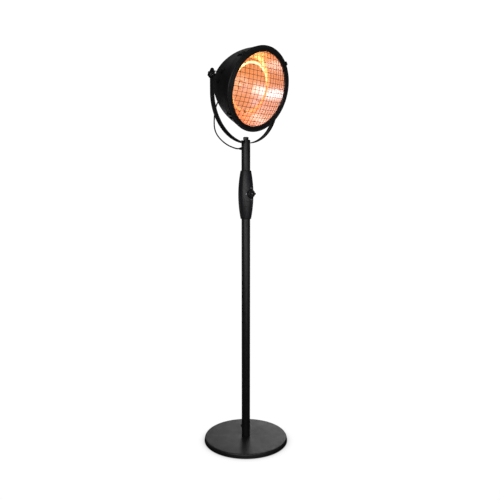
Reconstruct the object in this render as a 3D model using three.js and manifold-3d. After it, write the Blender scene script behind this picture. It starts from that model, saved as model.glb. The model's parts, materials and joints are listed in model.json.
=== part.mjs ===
// Free-standing electric heater: a round weighted base, a pole, a control housing, and a lamp head that
// tilts in a U-shaped yoke. Millimetres, +Z up, origin at the centre of the base's underside.
// The lamp and the control knob face -Y, and the head's tilt axis runs along X.
import * as THREE from 'three';
import { mergeVertices } from 'three/addons/utils/BufferGeometryUtils.js';
import Module from 'manifold-3d';

const wasm = await Module();
wasm.setup();

// ---- driving dimensions -------------------------------------------------------------------------------
const GAP = 0.3; // between neighbouring pieces

const BASE = { radius: 200, topRadius: 197, height: 20.6, skin: 1.5, pad: 2, sides: 48 };
const TUBE = { radius: 20, wall: 1.5, sides: 28 };
const BORE = TUBE.radius - TUBE.wall;
const MAINS_OUTLET_Z = 62;

const HOUSING = { bottom: 1067, top: 1285, waist: 35, end: 24.2, wall: 2.5, collar: 8 };
const KNOB_Z = 1181;
const LOWER_TUBE_TOP = 1090;
const JOINER = { bottom: 1055, top: 1290, radius: BORE - GAP, wall: 1.5, window: [1100, 1255] };

const NECK = { bottom: 1262, top: 1420, cableZ: 1384, screwZ: 1397.5, plugBottom: 1392.5 };
const STRAP = { width: 25, thickness: 4, radius: 199, bottom: 1404.7, top: 1702 };
const PIVOT_Z = 1675;
const TILT = THREE.MathUtils.degToRad(17.1);

// The head is drawn in its own frame: +Z out of the mouth, +Y up, the rim's front face at z = 0.
const PIVOT_IN_HEAD = new THREE.Vector3(0, 22, -97);
const SHELL = { radius: 173, drop: 110, length: 240, front: 9, back: 250, wall: 1.6, opening: 44, sides: 32 };
const RIM = { radius: 181.3, depth: 28, flat: 171.5, opening: 156, lip: 3, sheet: 1.6, sides: 48 };
const REFLECTOR = { radius: 157, depth: 118, front: 8, power: 3.2, sheet: 2.2, lip: 170 };
const LAMP = { radius: 105, depth: 66, tube: 5.5, gapAngle: 10, legEnd: 98 };
const GRILLE = { radius: 168, rim: 6, pitch: 19, wire: 1.8, crossing: 0.1, front: 2, dome: 160, bulge: 42 };
const REAR_BAR = { depth: 124, thickness: 2.5, half: 137, width: 24 };
const EAR = { width: 17, sheet: 3, plate: 192.4, reach: 17.5, bend: 8, foot: 15, footWidth: 40, screwAt: 25 };

// Round holes and the things that go in them, by radius.
const BASE_BOLT_HOLE = 5.6;
const THREAD_BORE = 5.4;
const SMALL_SCREW = { shank: 2, hole: 2.3, head: 4.2 };
const HOUSING_SCREW = { shank: 1.9, head: 3.6, from: 14, seat: HOUSING.end + 1.9, top: HOUSING.end + 4 };
const CABLE_HOLE = 7.3;
const HUB_HOLE = 6.4;
const PIVOT_HOLE = 4.5;

// ---- materials ----------------------------------------------------------------------------------------
const finish = (color, roughness, metalness) => () =>
  new THREE.MeshStandardMaterial({ color, roughness, metalness });
const blackPowderCoat = finish(0x1b1b1c, 0.55, 0.3);
const blackPlastic = finish(0x161617, 0.5, 0);
const rubber = finish(0x101010, 0.85, 0);
const castIron = finish(0x3a3a3a, 0.8, 0.6);
const steel = finish(0xb4b4b2, 0.35, 1);
const blackSteel = finish(0x1d1d1e, 0.4, 0.9);
const polishedAluminium = finish(0xe6e2dc, 0.15, 1);
const ceramic = finish(0xe8e2d4, 0.6, 0);
const whitePlastic = finish(0xdedede, 0.5, 0);
const quartz = finish(0xffb060, 0.1, 0);

// ---- solids -------------------------------------------------------------------------------------------
function toSolid(geometry) {
  const bare = geometry.clone();
  bare.deleteAttribute('normal');
  bare.deleteAttribute('uv');
  const merged = mergeVertices(bare, 1e-4);
  return new wasm.Manifold(new wasm.Mesh({
    numProp: 3,
    vertProperties: new Float32Array(merged.attributes.position.array),
    triVerts: new Uint32Array(merged.index.array),
  }));
}

function toGeometry(solid) {
  const mesh = solid.getMesh();
  const geometry = new THREE.BufferGeometry();
  geometry.setAttribute('position', new THREE.BufferAttribute(mesh.vertProperties, 3));
  geometry.setIndex(new THREE.BufferAttribute(mesh.triVerts, 1));
  geometry.computeVertexNormals();
  return geometry;
}

const cut = (base, ...tools) =>
  toGeometry(tools.reduce((solid, tool) => solid.subtract(toSolid(tool)), toSolid(base)));
const join = (base, ...others) =>
  toGeometry(others.reduce((solid, other) => solid.add(toSolid(other)), toSolid(base)));
const overlap = (a, b) => toGeometry(toSolid(a).intersect(toSolid(b)));

// A profile of [radius, z] points, listed counter-clockwise, turned about Z.
function turned(profile, sides = 32) {
  const points = profile.map(([r, z]) => new THREE.Vector2(r, z));
  const onAxis = profile[0][0] === 0 && profile.at(-1)[0] === 0;
  if (!onAxis) points.push(points[0].clone());
  return toGeometry(toSolid(new THREE.LatheGeometry(points, sides).rotateX(Math.PI / 2)));
}

const rod = (radius, from, to, sides = 16) =>
  new THREE.CylinderGeometry(radius, radius, to - from, sides)
    .rotateX(Math.PI / 2)
    .translate(0, 0, (from + to) / 2);
const ring = (inner, outer, from, to, sides = 16) =>
  turned([[inner, from], [outer, from], [outer, to], [inner, to]], sides);
const box = (x, y, z) =>
  new THREE.BoxGeometry(x[1] - x[0], y[1] - y[0], z[1] - z[0])
    .translate((x[0] + x[1]) / 2, (y[0] + y[1]) / 2, (z[0] + z[1]) / 2);
const hexagon = (acrossFlats, from, to) => rod(acrossFlats / Math.sqrt(3), from, to, 6);
const within = (half, centre = 0) => [centre - half, centre + half];

// Turn something drawn along +Z to point along another axis.
const towardsBack = (geometry) => geometry.rotateX(-Math.PI / 2);
const towardsFront = (geometry) => geometry.rotateX(Math.PI / 2);
const towardsSide = (geometry, side) => geometry.rotateY(side * Math.PI / 2);

const spaced = (from, to, steps) =>
  Array.from({ length: steps + 1 }, (_, i) => from + (to - from) * i / steps);

const onCircle = (radius, degrees) => {
  const a = THREE.MathUtils.degToRad(degrees);
  return [radius * Math.cos(a), radius * Math.sin(a)];
};

const arc = (cx, cy, radius, from, to, steps) => spaced(from, to, steps).map((degrees) => {
  const [x, y] = onCircle(radius, degrees);
  return [cx + x, cy + y];
});

function extruded(outline, from, to) {
  const shape = new THREE.Shape(outline.map(([x, y]) => new THREE.Vector2(x, y)));
  const options = { depth: to - from, bevelEnabled: false };
  return toGeometry(toSolid(new THREE.ExtrudeGeometry(shape, options).translate(0, 0, from)));
}

// A round bar or cord along a smooth curve through the points.
function swept(points, radius, sides, steps) {
  const outline = arc(0, 0, radius, 0, 360 * (1 - 1 / sides), sides - 1);
  const section = new THREE.Shape(outline.map(([x, y]) => new THREE.Vector2(x, y)));
  const places = points.map((point) => new THREE.Vector3(...point));
  const extrudePath = new THREE.CatmullRomCurve3(places, false, 'centripetal');
  const options = { extrudePath, steps, bevelEnabled: false };
  return toGeometry(toSolid(new THREE.ExtrudeGeometry(section, options)));
}

const heater = new THREE.Group();

function add(name, geometry, material, parent = heater) {
  const mesh = new THREE.Mesh(geometry, material());
  mesh.name = name;
  parent.add(mesh);
}

// ---- base ---------------------------------------------------------------------------------------------
const COUNTERBORE = { radius: 17, top: 12 };
const FOOT = { bottom: BASE.height + GAP, top: 46 };
const BASE_WASHER = { radius: 14, bottom: 9.7, top: 11.7 };
const BASE_BOLT = { radius: 5, acrossFlats: 17, head: 3, end: 40 };

add('base_pad', rod(BASE.radius - 6, 0, BASE.pad, BASE.sides), rubber);

add('base_weight', turned([
  [BASE_BOLT_HOLE, COUNTERBORE.top],
  [COUNTERBORE.radius, COUNTERBORE.top],
  [COUNTERBORE.radius, BASE.pad + GAP],
  [BASE.radius - 7, BASE.pad + GAP],
  [BASE.topRadius - 7, BASE.height - BASE.skin - 2],
  [BASE_BOLT_HOLE, BASE.height - BASE.skin - GAP],
], BASE.sides), castIron);

function baseCoverProfile() {
  const top = BASE.height;
  const lip = 0.8;
  return [
    [BASE.radius - 1, lip], [BASE.radius, 3 * lip], [BASE.topRadius + 1.2, top - 6],
    ...arc(BASE.topRadius - 4, top - 5.4, 5, 15, 80, 2),
    [BASE_BOLT_HOLE, top], [BASE_BOLT_HOLE, top - BASE.skin],
    [BASE.topRadius - 4.4, top - BASE.skin - 0.8], [BASE.topRadius - 0.9, top - 6.2],
    [BASE.radius - 2.2, lip],
  ];
}
add('base_cover', turned(baseCoverProfile(), BASE.sides), blackPowderCoat);

add('tube_foot', ring(THREAD_BORE, JOINER.radius, FOOT.bottom, FOOT.top), steel);
add('base_washer',
  ring(BASE_BOLT_HOLE, BASE_WASHER.radius, BASE_WASHER.bottom, BASE_WASHER.top), steel);
add('base_bolt', join(
  hexagon(BASE_BOLT.acrossFlats, BASE_BOLT.head, BASE_WASHER.bottom - GAP),
  rod(BASE_BOLT.radius, BASE_WASHER.bottom - 1, BASE_BOLT.end, 12)), steel);

// ---- pole ---------------------------------------------------------------------------------------------
// Holes through one side of the tubes' wall.
const THROUGH_WALL = [8, 32];
const holeInBack = (radius, z) => towardsBack(rod(radius, ...THROUGH_WALL)).translate(0, 0, z);
const holeInFront = (radius, z) => towardsFront(rod(radius, ...THROUGH_WALL)).translate(0, 0, z);
const HOUSING_SCREW_Z = { lower: HOUSING.bottom + 4, upper: HOUSING.top - 4 };
const lowerScrewHole = holeInBack(SMALL_SCREW.hole, HOUSING_SCREW_Z.lower);
const upperScrewHole = holeInBack(SMALL_SCREW.hole, HOUSING_SCREW_Z.upper);

const tube = (from, to) => ring(BORE, TUBE.radius, from, to, TUBE.sides);
add('lower_tube', cut(
  tube(FOOT.bottom, LOWER_TUBE_TOP), holeInBack(CABLE_HOLE, MAINS_OUTLET_Z), lowerScrewHole),
blackPowderCoat);

// Rubber glands: a neck in the hole, a flange on the wall, and a tapered sleeve.
const GLAND = { inner: 16, flange: 9.5, neck: CABLE_HOLE - GAP, sleeve: 7, tip: 4.8 };
const MAINS_GLAND = { bore: 3.8, flange: 10, sleeve: 5.6, end: TUBE.radius + 12 };

add('mains_gland', towardsBack(turned([
  [MAINS_GLAND.bore, GLAND.inner], [GLAND.neck, GLAND.inner], [GLAND.neck, TUBE.radius + GAP],
  [MAINS_GLAND.flange, TUBE.radius + GAP], [MAINS_GLAND.flange - 1, TUBE.radius + 3.2],
  [MAINS_GLAND.sleeve, MAINS_GLAND.end], [MAINS_GLAND.bore, MAINS_GLAND.end],
], 16)).translate(0, 0, MAINS_OUTLET_Z), rubber);

// ---- control housing ----------------------------------------------------------------------------------
const BOSS = { radius: 21, root: 27, face: 35.4 };
const SHAFT = { radius: 3, hole: 4.3, from: 31.9, to: 44 };
const SWITCH = { half: 13, front: 26.5, back: 4, halfHeight: 14, bushing: 3.8 };
const TIP_SWITCH = { radius: 10, bottom: 1212, top: 1240, back: 3 };
const TERMINALS = { half: 10, depth: 12, bottom: 1110, top: 1150 };

function housingRadius(z) {
  const middle = (HOUSING.bottom + HOUSING.top) / 2;
  const t = (z - middle) / (HOUSING.top - middle);
  return HOUSING.waist - (HOUSING.waist - HOUSING.end) * t * t;
}

function housingProfile() {
  const steps = 6;
  const collarRadius = TUBE.radius + GAP;
  const innerTop = HOUSING.top - HOUSING.collar;
  const innerBottom = HOUSING.bottom + HOUSING.collar;
  return [
    [collarRadius, HOUSING.bottom],
    ...spaced(HOUSING.bottom, HOUSING.top, steps).map((z) => [housingRadius(z), z]),
    [collarRadius, HOUSING.top],
    [collarRadius, innerTop],
    ...spaced(innerTop, innerBottom, steps).map((z) => [housingRadius(z) - HOUSING.wall, z]),
    [collarRadius, innerBottom],
  ];
}

const atKnob = (geometry) => towardsFront(geometry).translate(0, 0, KNOB_Z);

const housing = turned(housingProfile());
const housingReach = 60;
const halfHousing = (y) =>
  overlap(housing, box(within(housingReach), y, [HOUSING.bottom - 5, HOUSING.top + 5]));
const boss = atKnob(rod(BOSS.radius, BOSS.root, BOSS.face, 28));
const bossHollow = atKnob(rod(BOSS.radius - HOUSING.wall, SWITCH.half, BOSS.face - HOUSING.wall, 24));
const shaftHole = atKnob(rod(SHAFT.hole, SWITCH.half, BOSS.face + 1));
add('housing_front', cut(
  join(halfHousing([-housingReach, -GAP / 2]), boss), bossHollow, shaftHole), blackPlastic);
add('housing_rear',
  cut(halfHousing([GAP / 2, housingReach]), lowerScrewHole, upperScrewHole), blackPlastic);

for (const [place, z] of Object.entries(HOUSING_SCREW_Z)) {
  const screwHead = rod(HOUSING_SCREW.head, HOUSING_SCREW.seat, HOUSING_SCREW.top, 12);
  const shank = rod(HOUSING_SCREW.shank, HOUSING_SCREW.from, HOUSING_SCREW.seat + GAP, 8);
  add(`housing_screw_${place}`,
    towardsBack(join(screwHead, shank)).translate(0, 0, z), blackSteel);
}

// The tube inside the housing that joins the pole to the neck, cut away in front for the switch.
const joinerWindow = box(within(TUBE.radius), [-TUBE.radius, GAP - SWITCH.back + GAP], JOINER.window);
add('joiner_tube', cut(
  ring(JOINER.radius - JOINER.wall, JOINER.radius, JOINER.bottom, JOINER.top, TUBE.sides),
  joinerWindow, lowerScrewHole, upperScrewHole), steel);

add('rotary_switch', join(
  box(within(SWITCH.half), [-SWITCH.front, -SWITCH.back], within(SWITCH.halfHeight, KNOB_Z)),
  atKnob(rod(SWITCH.bushing, SWITCH.front - 0.5, SHAFT.from - GAP))), whitePlastic);
add('switch_shaft', atKnob(rod(SHAFT.radius, SHAFT.from, SHAFT.to)), steel);
add('terminal_block',
  box(within(TERMINALS.half), [0, TERMINALS.depth], [TERMINALS.bottom, TERMINALS.top]), whitePlastic);
add('tip_over_switch',
  rod(TIP_SWITCH.radius, TIP_SWITCH.bottom, TIP_SWITCH.top).translate(0, TIP_SWITCH.back, 0),
  blackPlastic);

// The grip bar lies level at rest, as the knob points at its left-hand mark.
function controlKnob() {
  const skirt = { radius: 19.5, from: 36, to: 39.5 };
  const body = { radius: 16.8, to: 43.5 };
  const grip = { radius: 16, half: 4.2, to: 50 };
  const bar = overlap(
    rod(grip.radius, body.to - 0.5, grip.to, 24),
    box(within(grip.radius), within(grip.half), [body.to - 0.5, grip.to]));
  return atKnob(cut(
    join(
      rod(skirt.radius, skirt.from, skirt.to, 32),
      rod(body.radius, skirt.to - 0.5, body.to, 24),
      bar),
    rod(SHAFT.radius + 0.2, skirt.from - 1, SHAFT.to + 0.5)));
}
add('control_knob', controlKnob(), blackPlastic);

// ---- neck ---------------------------------------------------------------------------------------------
// The strap passes through a slot in the top of the neck, and a bolt holds it down on the plug.
const strapSlot = box(
  within(1.5 * TUBE.radius), within(STRAP.width / 2 + GAP), [STRAP.bottom - 0.5, NECK.top + 10]);
const neckScrewHole = holeInFront(SMALL_SCREW.hole, NECK.screwZ);
add('neck_tube', cut(
  tube(NECK.bottom, NECK.top), strapSlot, neckScrewHole, holeInBack(CABLE_HOLE, NECK.cableZ),
  upperScrewHole), blackPowderCoat);

add('neck_plug',
  cut(ring(THREAD_BORE, JOINER.radius, NECK.plugBottom, STRAP.bottom - GAP), neckScrewHole), steel);
add('neck_screw', towardsFront(join(
  rod(SMALL_SCREW.shank, 9, TUBE.radius + 1, 8),
  rod(SMALL_SCREW.head, TUBE.radius + GAP, TUBE.radius + 2.5, 12)))
  .translate(0, 0, NECK.screwZ), blackSteel);
add('neck_gland', towardsBack(turned([
  [0, GLAND.inner], [GLAND.neck, GLAND.inner], [GLAND.neck, TUBE.radius + GAP],
  [GLAND.flange, TUBE.radius + GAP], [GLAND.flange - 0.5, TUBE.radius + 3],
  [GLAND.sleeve, TUBE.radius + 4], [GLAND.tip, 2 * TUBE.radius], [0, 2 * TUBE.radius],
], 16)).translate(0, 0, NECK.cableZ), rubber);

// ---- yoke ---------------------------------------------------------------------------------------------
const YOKE_BOLT = { hole: 5.5, radius: 5, from: 1394, collar: 9.5, acrossFlats: 22, top: 1433 };
const WASHER = { radius: 11, bottom: STRAP.bottom + STRAP.thickness + 1.1, thickness: 2 };

function yokeStrap() {
  const inside = STRAP.radius - STRAP.thickness;
  const centreZ = STRAP.bottom + STRAP.radius;
  const steps = 24;
  const half = STRAP.width / 2;
  const below = STRAP.bottom - 15;
  const beyond = within(STRAP.radius + 11);
  const bent = extruded([
    [inside, STRAP.top],
    ...arc(0, centreZ, inside, 0, -180, steps),
    [-inside, STRAP.top],
    [-STRAP.radius, STRAP.top],
    ...arc(0, centreZ, STRAP.radius, -180, 0, steps),
    [STRAP.radius, STRAP.top],
  ], -half, half).rotateX(Math.PI / 2);
  const sideView = [...arc(0, STRAP.top - half, half, 0, 180, 8), [-half, below], [half, below]];
  const rounded = towardsSide(extruded(sideView.map(([y, z]) => [-z, y]), ...beyond), 1);
  const pivotHole = towardsSide(rod(PIVOT_HOLE, ...beyond), 1).translate(0, 0, PIVOT_Z);
  return cut(overlap(bent, rounded), pivotHole, rod(YOKE_BOLT.hole, below, NECK.top));
}
add('yoke_strap', yokeStrap(), blackPowderCoat);

add('yoke_washer',
  ring(YOKE_BOLT.hole, WASHER.radius, WASHER.bottom, WASHER.bottom + WASHER.thickness), blackSteel);
add('yoke_bolt', join(
  rod(YOKE_BOLT.radius, YOKE_BOLT.from, WASHER.bottom + 4, 12),
  rod(YOKE_BOLT.collar, WASHER.bottom + WASHER.thickness + GAP, NECK.top + 1),
  hexagon(YOKE_BOLT.acrossFlats, NECK.top, YOKE_BOLT.top)), blackSteel);

// ---- head ---------------------------------------------------------------------------------------------
const head = new THREE.Group();
head.rotation.x = Math.PI / 2 + TILT;
head.position.set(0, 0, PIVOT_Z).sub(PIVOT_IN_HEAD.clone().applyEuler(head.rotation));
heater.add(head);

// The shell is a paraboloid: its radius falls with the square of the depth behind the rim.
const shellRadius = (depth) => SHELL.radius - SHELL.drop * (depth / SHELL.length) ** 2;
const shellSlope = (depth) => 2 * SHELL.drop * depth / SHELL.length ** 2;
const shellStations = spaced(SHELL.back, SHELL.front, 6);

// The space inside the shell's outer face, grown by an offset, as one solid.
const shellBody = (offset) => turned([
  [0, -SHELL.back], ...shellStations.map((s) => [shellRadius(s) + offset, -s]), [0, -SHELL.front],
], SHELL.sides);

// Moves something drawn along +Z to stand on the shell at an angle round it and a depth behind the rim.
function onShell(geometry, degrees, depth) {
  const slope = Math.atan(shellSlope(depth));
  const normal = new THREE.Vector3(...onCircle(Math.cos(slope), degrees), -Math.sin(slope));
  const foot = new THREE.Vector3(...onCircle(shellRadius(depth), degrees), -depth);
  const turn = new THREE.Quaternion().setFromUnitVectors(new THREE.Vector3(0, 0, 1), normal);
  return geometry.applyQuaternion(turn).translate(...foot);
}

// The four screws of the pivot brackets, two on each side.
const EAR_DEPTH = -PIVOT_IN_HEAD.z;
const earFeet = [];
for (const side of [1, -1]) {
  for (const [place, y] of [['upper', EAR.screwAt], ['lower', -EAR.screwAt]]) {
    const angle = THREE.MathUtils.radToDeg(Math.asin((PIVOT_IN_HEAD.y + y) / shellRadius(EAR_DEPTH)));
    earFeet.push({ side, place, degrees: side > 0 ? angle : 180 - angle });
  }
}
const earScrewHole = ({ degrees }) => onShell(rod(SMALL_SCREW.hole, -12, 12, 12), degrees, EAR_DEPTH);

const HEAD_GLAND = { depth: 232, degrees: -90, from: -10, to: 18 };
const glandHole = onShell(rod(CABLE_HOLE, -20, 12), HEAD_GLAND.degrees, HEAD_GLAND.depth);
const SHELL_LIP = 162;

function headShell() {
  const outer = shellStations.map((s) => [shellRadius(s), -s]);
  const inner = spaced(SHELL.front + SHELL.wall, SHELL.back - 1, shellStations.length - 1)
    .map((s) => [shellRadius(s) - SHELL.wall * 1.15, -s]);
  const profile = [
    [SHELL.opening, -SHELL.back - SHELL.wall], [shellRadius(SHELL.back) - 3, -SHELL.back - SHELL.wall],
    ...outer,
    [SHELL_LIP, -SHELL.front], [SHELL_LIP, -SHELL.front - SHELL.wall],
    ...inner,
    [SHELL.opening, -SHELL.back],
  ];
  return cut(turned(profile, SHELL.sides), glandHole, ...earFeet.map(earScrewHole));
}
add('head_shell', headShell(), blackPowderCoat, head);

// A pressed cap: a shallow dome with a wall that stands on the shell's back.
const COVER = { radius: 48, foot: -SHELL.back - SHELL.wall - 0.6, crown: -265.6, sheet: 1.6 };
add('rear_cover', turned([
  [0, COVER.crown], [30.5, COVER.crown + 2], [COVER.radius - 1, COVER.crown + 7.6],
  [COVER.radius, COVER.foot], [COVER.radius - 7, COVER.foot],
  [COVER.radius - 7, COVER.foot - COVER.sheet], [COVER.radius - 2, COVER.foot - COVER.sheet],
  [COVER.radius - 2.5, COVER.crown + 8.6], [30, COVER.crown + 3.6], [0, COVER.crown + COVER.sheet],
], 24), blackPowderCoat, head);

// A rolled band round the shell's mouth, with a flat face whose inner edge is flared forward.
add('front_ring', turned([
  [174.5, -RIM.depth], [176.8, -14], [RIM.radius, -3.5], [180.6, -0.8], [178.4, 0],
  [RIM.flat, 0], [RIM.opening, RIM.lip], [RIM.opening, RIM.lip - RIM.sheet], [RIM.flat, -RIM.sheet],
  [177.4, -RIM.sheet], [179, -4.5], [175.2, -14.4], [173, -RIM.depth],
], RIM.sides), blackPowderCoat, head);

// The guard bulges out of the mouth as a shallow dome.
const domeHeight = (x, y) => GRILLE.bulge * Math.max(0, 1 - (x * x + y * y) / GRILLE.dome ** 2);

// A straight bar pressed to the dome, bent midway between its crossings.
function pressed(half, across, depth, upright) {
  const cells = Math.ceil(half / GRILLE.pitch - 0.5);
  const bends = spaced(0.5 - cells, cells - 0.5, 2 * cells - 1).map((cell) => cell * GRILLE.pitch);
  const stations = [-half, ...bends, half];
  const bar = new THREE.BoxGeometry(1, GRILLE.wire, GRILLE.wire, stations.length - 1);
  const place = bar.attributes.position;
  for (let i = 0; i < place.count; i += 1) {
    const along = stations[Math.round((place.getX(i) + 0.5) * (stations.length - 1))];
    const [x, y] = upright ? [across - place.getY(i), along] : [along, across + place.getY(i)];
    place.setXYZ(i, x, y, place.getZ(i) - depth + domeHeight(x, y));
  }
  return bar;
}

// A frame, level wires in front and upright wires behind them.
function grille() {
  const inside = GRILLE.radius - GRILLE.rim / 2;
  const count = Math.floor(inside / GRILLE.pitch);
  const levelDepth = GRILLE.front + GAP + GRILLE.wire / 2;
  const uprightDepth = levelDepth + GRILLE.wire + GRILLE.crossing;
  const back = uprightDepth + GRILLE.wire / 2 + GAP;
  const wires = [];
  for (let i = -count; i <= count; i += 1) {
    const at = i * GRILLE.pitch;
    const half = Math.sqrt(inside * inside - at * at);
    wires.push(pressed(half, at, levelDepth, false));
    wires.push(pressed(half, at, uprightDepth, true));
  }
  const frame = ring(GRILLE.radius - GRILLE.rim, GRILLE.radius, -back, -GRILLE.front, RIM.sides);
  return join(frame, ...wires);
}
add('grille', grille(), blackSteel, head);

const reflectorDepth = (r) =>
  REFLECTOR.depth - (REFLECTOR.depth - REFLECTOR.front) * (r / REFLECTOR.radius) ** REFLECTOR.power;
const lampEnd = (side) => onCircle(LAMP.radius, -90 + side * LAMP.gapAngle);

// A deep bowl whose flat lip lies behind the guard.
function reflector() {
  const radii = [HUB_HOLE, 55, 88, 114, 136, REFLECTOR.radius];
  const lipFront = 7.4;
  const bowl = radii.map((r) => [r, -reflectorDepth(r)]).reverse();
  const back = radii.slice(0, -1).map((r) => [r, -reflectorDepth(r) - REFLECTOR.sheet]);
  const profile = [
    ...back,
    [REFLECTOR.radius + 0.9, -REFLECTOR.front - 0.6], [REFLECTOR.lip, -REFLECTOR.front - 0.4],
    [REFLECTOR.lip, -lipFront], [REFLECTOR.radius + 1, -lipFront],
    ...bowl,
  ];
  const legHoles = [1, -1].map((side) => rod(8, -125, -70).translate(...lampEnd(side), 0));
  return cut(turned(profile, SHELL.sides), ...legHoles);
}
add('reflector', reflector(), polishedAluminium, head);

// A quartz tube bent to a ring, with both ends turned back through the reflector.
function lampRing() {
  const bend = 4;
  const ringStart = -90 + LAMP.gapAngle + bend;
  const ringEnd = 270 - LAMP.gapAngle - bend;
  const turn = spaced(ringStart, ringEnd, 40).map((a) => [...onCircle(LAMP.radius, a), -LAMP.depth]);
  const leg = (side) =>
    [LAMP.depth + 8, LAMP.depth + 18, LAMP.legEnd].map((s) => [...lampEnd(side), -s]);
  return swept([...leg(1).reverse(), ...turn, ...leg(-1)], LAMP.tube, 8, 56);
}
add('lamp_ring', lampRing(), quartz, head);

const HOLDER_HALF = 8.5;
for (const [name, side] of [['right', 1], ['left', -1]]) {
  const [x, y] = lampEnd(side);
  add(`lamp_holder_${name}`, box(
    within(HOLDER_HALF, x), within(HOLDER_HALF, y), [-REAR_BAR.depth + GAP, -LAMP.legEnd - GAP]),
  ceramic, head);
}

// Posts that stand on the reflector and carry the lamp.
const POST_RADIUS = 2.5;
[90, 210, 330].forEach((degrees, i) => {
  const foot = -reflectorDepth(LAMP.radius + POST_RADIUS + 0.5) + 1.5;
  const post = rod(POST_RADIUS, foot, -LAMP.depth - LAMP.tube - GAP, 8)
    .translate(...onCircle(LAMP.radius, degrees), 0);
  add(`lamp_support_${i + 1}`, post, steel, head);
});

// A stud through the reflector's middle, with a domed head in front.
const HUB = { radius: 22, end: -134, under: 1.3 - REFLECTOR.depth, edge: -112, crown: -108 };
add('reflector_hub', turned([
  [0, HUB.end], [HUB_HOLE - 0.5, HUB.end], [HUB_HOLE - 0.5, HUB.under], [HUB.radius, HUB.under],
  [HUB.radius - 1, HUB.edge], [13, HUB.crown - 1], [0, HUB.crown],
], 24), steel, head);

const barBack = -REAR_BAR.depth - REAR_BAR.thickness;
add('reflector_bracket', cut(
  box(within(REAR_BAR.width / 2), within(REAR_BAR.half), [barBack, -REAR_BAR.depth]),
  rod(HUB_HOLE, barBack - 4, -REAR_BAR.depth + 4)), steel, head);
add('head_terminal_block', box(within(18), [-64, -40], [-148, barBack - GAP]), ceramic, head);

add('head_gland', onShell(turned([
  [0, HEAD_GLAND.from], [GLAND.neck, HEAD_GLAND.from], [GLAND.neck, GAP],
  [GLAND.flange, 2 * GAP], [GLAND.flange - 0.5, 3.2], [GLAND.sleeve, 4.2],
  [GLAND.tip, HEAD_GLAND.to], [0, HEAD_GLAND.to],
], 16), HEAD_GLAND.degrees, HEAD_GLAND.depth), rubber, head);

// Spring clips that hook over the rim and lie on the shell.
const CLIP_WIDTH = 14;
const clipOutline = [
  [175, 2.4], [186, 2.4], [188.5, -1.5], [188.5, -9], [184.4, -14], [176.4, -35], [173.4, -48],
  [169.2, -48], [171.5, -34], [174, -32], [182, -13.4], [182, GAP], [175, GAP],
];
[45, 135, 225, 315].forEach((degrees, i) => {
  const clip = extruded(clipOutline, ...within(CLIP_WIDTH / 2)).rotateX(Math.PI / 2);
  add(`ring_clip_${i + 1}`, clip.rotateZ(THREE.MathUtils.degToRad(degrees)), blackSteel, head);
});

// ---- tilt pivots --------------------------------------------------------------------------------------
// Each bracket is a strip bent like a hat: a plate at the pivot, two legs, and wide feet on the shell.
function headBracket(side) {
  const y = PIVOT_IN_HEAD.y;
  const corner = EAR.plate - EAR.bend;
  const rise = EAR.reach - EAR.bend;
  const start = 138;
  const innerBend = EAR.bend - EAR.sheet;
  const innerReach = EAR.reach - EAR.sheet;
  const loop = [
    [start, y - EAR.reach],
    ...arc(corner, y - rise, EAR.bend, -90, 0, 4),
    ...arc(corner, y + rise, EAR.bend, 0, 90, 4),
    [start, y + EAR.reach],
    [start, y + innerReach],
    ...arc(corner, y + rise, innerBend, 90, 0, 4),
    ...arc(corner, y - rise, innerBend, 0, -90, 4),
    [start, y - innerReach],
  ];
  const hat = extruded(loop.map(([x, h]) => [side * x, h]), ...within(EAR.width / 2, PIVOT_IN_HEAD.z));
  const depth = within(EAR.footWidth / 2, PIVOT_IN_HEAD.z);
  const reach = within(40, side * 140);
  const feet = [[innerReach, EAR.reach + EAR.foot], [-EAR.reach - EAR.foot, -innerReach]]
    .map(([from, to]) => overlap(shellBody(GAP + 2.5), box(reach, [y + from, y + to], depth)));
  const holes = earFeet.filter((foot) => foot.side === side).map(earScrewHole);
  const pivotHole = towardsSide(rod(PIVOT_HOLE, 170, 200), side).translate(0, y, PIVOT_IN_HEAD.z);
  return cut(join(hat, ...feet), shellBody(GAP), pivotHole, ...holes);
}

// A moulded hand knob with six lobes.
const CLAMP_KNOB = {
  lobes: 6, radius: 13.6, wave: 1.9, collar: 8.5, crown: 8.5, bore: 4.3,
  from: 201.1, lobesFrom: 203, boreEnd: 208.5, lobesTo: 211.5, to: 213,
};
function clampKnob() {
  const outline = spaced(0, 350, 35).map((degrees) => {
    const wave = CLAMP_KNOB.wave * Math.cos(THREE.MathUtils.degToRad(CLAMP_KNOB.lobes * degrees));
    return onCircle(CLAMP_KNOB.radius + wave, degrees);
  });
  return cut(
    join(
      extruded(outline, CLAMP_KNOB.lobesFrom, CLAMP_KNOB.lobesTo),
      rod(CLAMP_KNOB.collar, CLAMP_KNOB.from, CLAMP_KNOB.lobesFrom + 0.5),
      rod(CLAMP_KNOB.crown, CLAMP_KNOB.lobesTo - 1, CLAMP_KNOB.to)),
    rod(CLAMP_KNOB.bore, CLAMP_KNOB.from - 1, CLAMP_KNOB.boreEnd, 12));
}

const PIVOT_BOLT = { head: 7.5, radius: 4, from: 184, shoulder: 189.1, to: 207.5 };
const SPACER = { radius: 8.5, from: EAR.plate + GAP, to: STRAP.radius - STRAP.thickness - GAP };
const PIVOT_WASHER = { radius: 8.5, from: STRAP.radius + GAP, to: STRAP.radius + 1.8 };

const atPivot = (geometry, side) =>
  towardsSide(geometry, side).translate(0, PIVOT_IN_HEAD.y, PIVOT_IN_HEAD.z);
const pivotBolt = () => join(
  rod(PIVOT_BOLT.head, PIVOT_BOLT.from, PIVOT_BOLT.shoulder),
  rod(PIVOT_BOLT.radius, PIVOT_BOLT.shoulder - 0.1, PIVOT_BOLT.to, 12));
const pivotWasher = (side) =>
  towardsSide(ring(PIVOT_HOLE, PIVOT_WASHER.radius, PIVOT_WASHER.from, PIVOT_WASHER.to), side)
    .translate(0, 0, PIVOT_Z);

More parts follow.
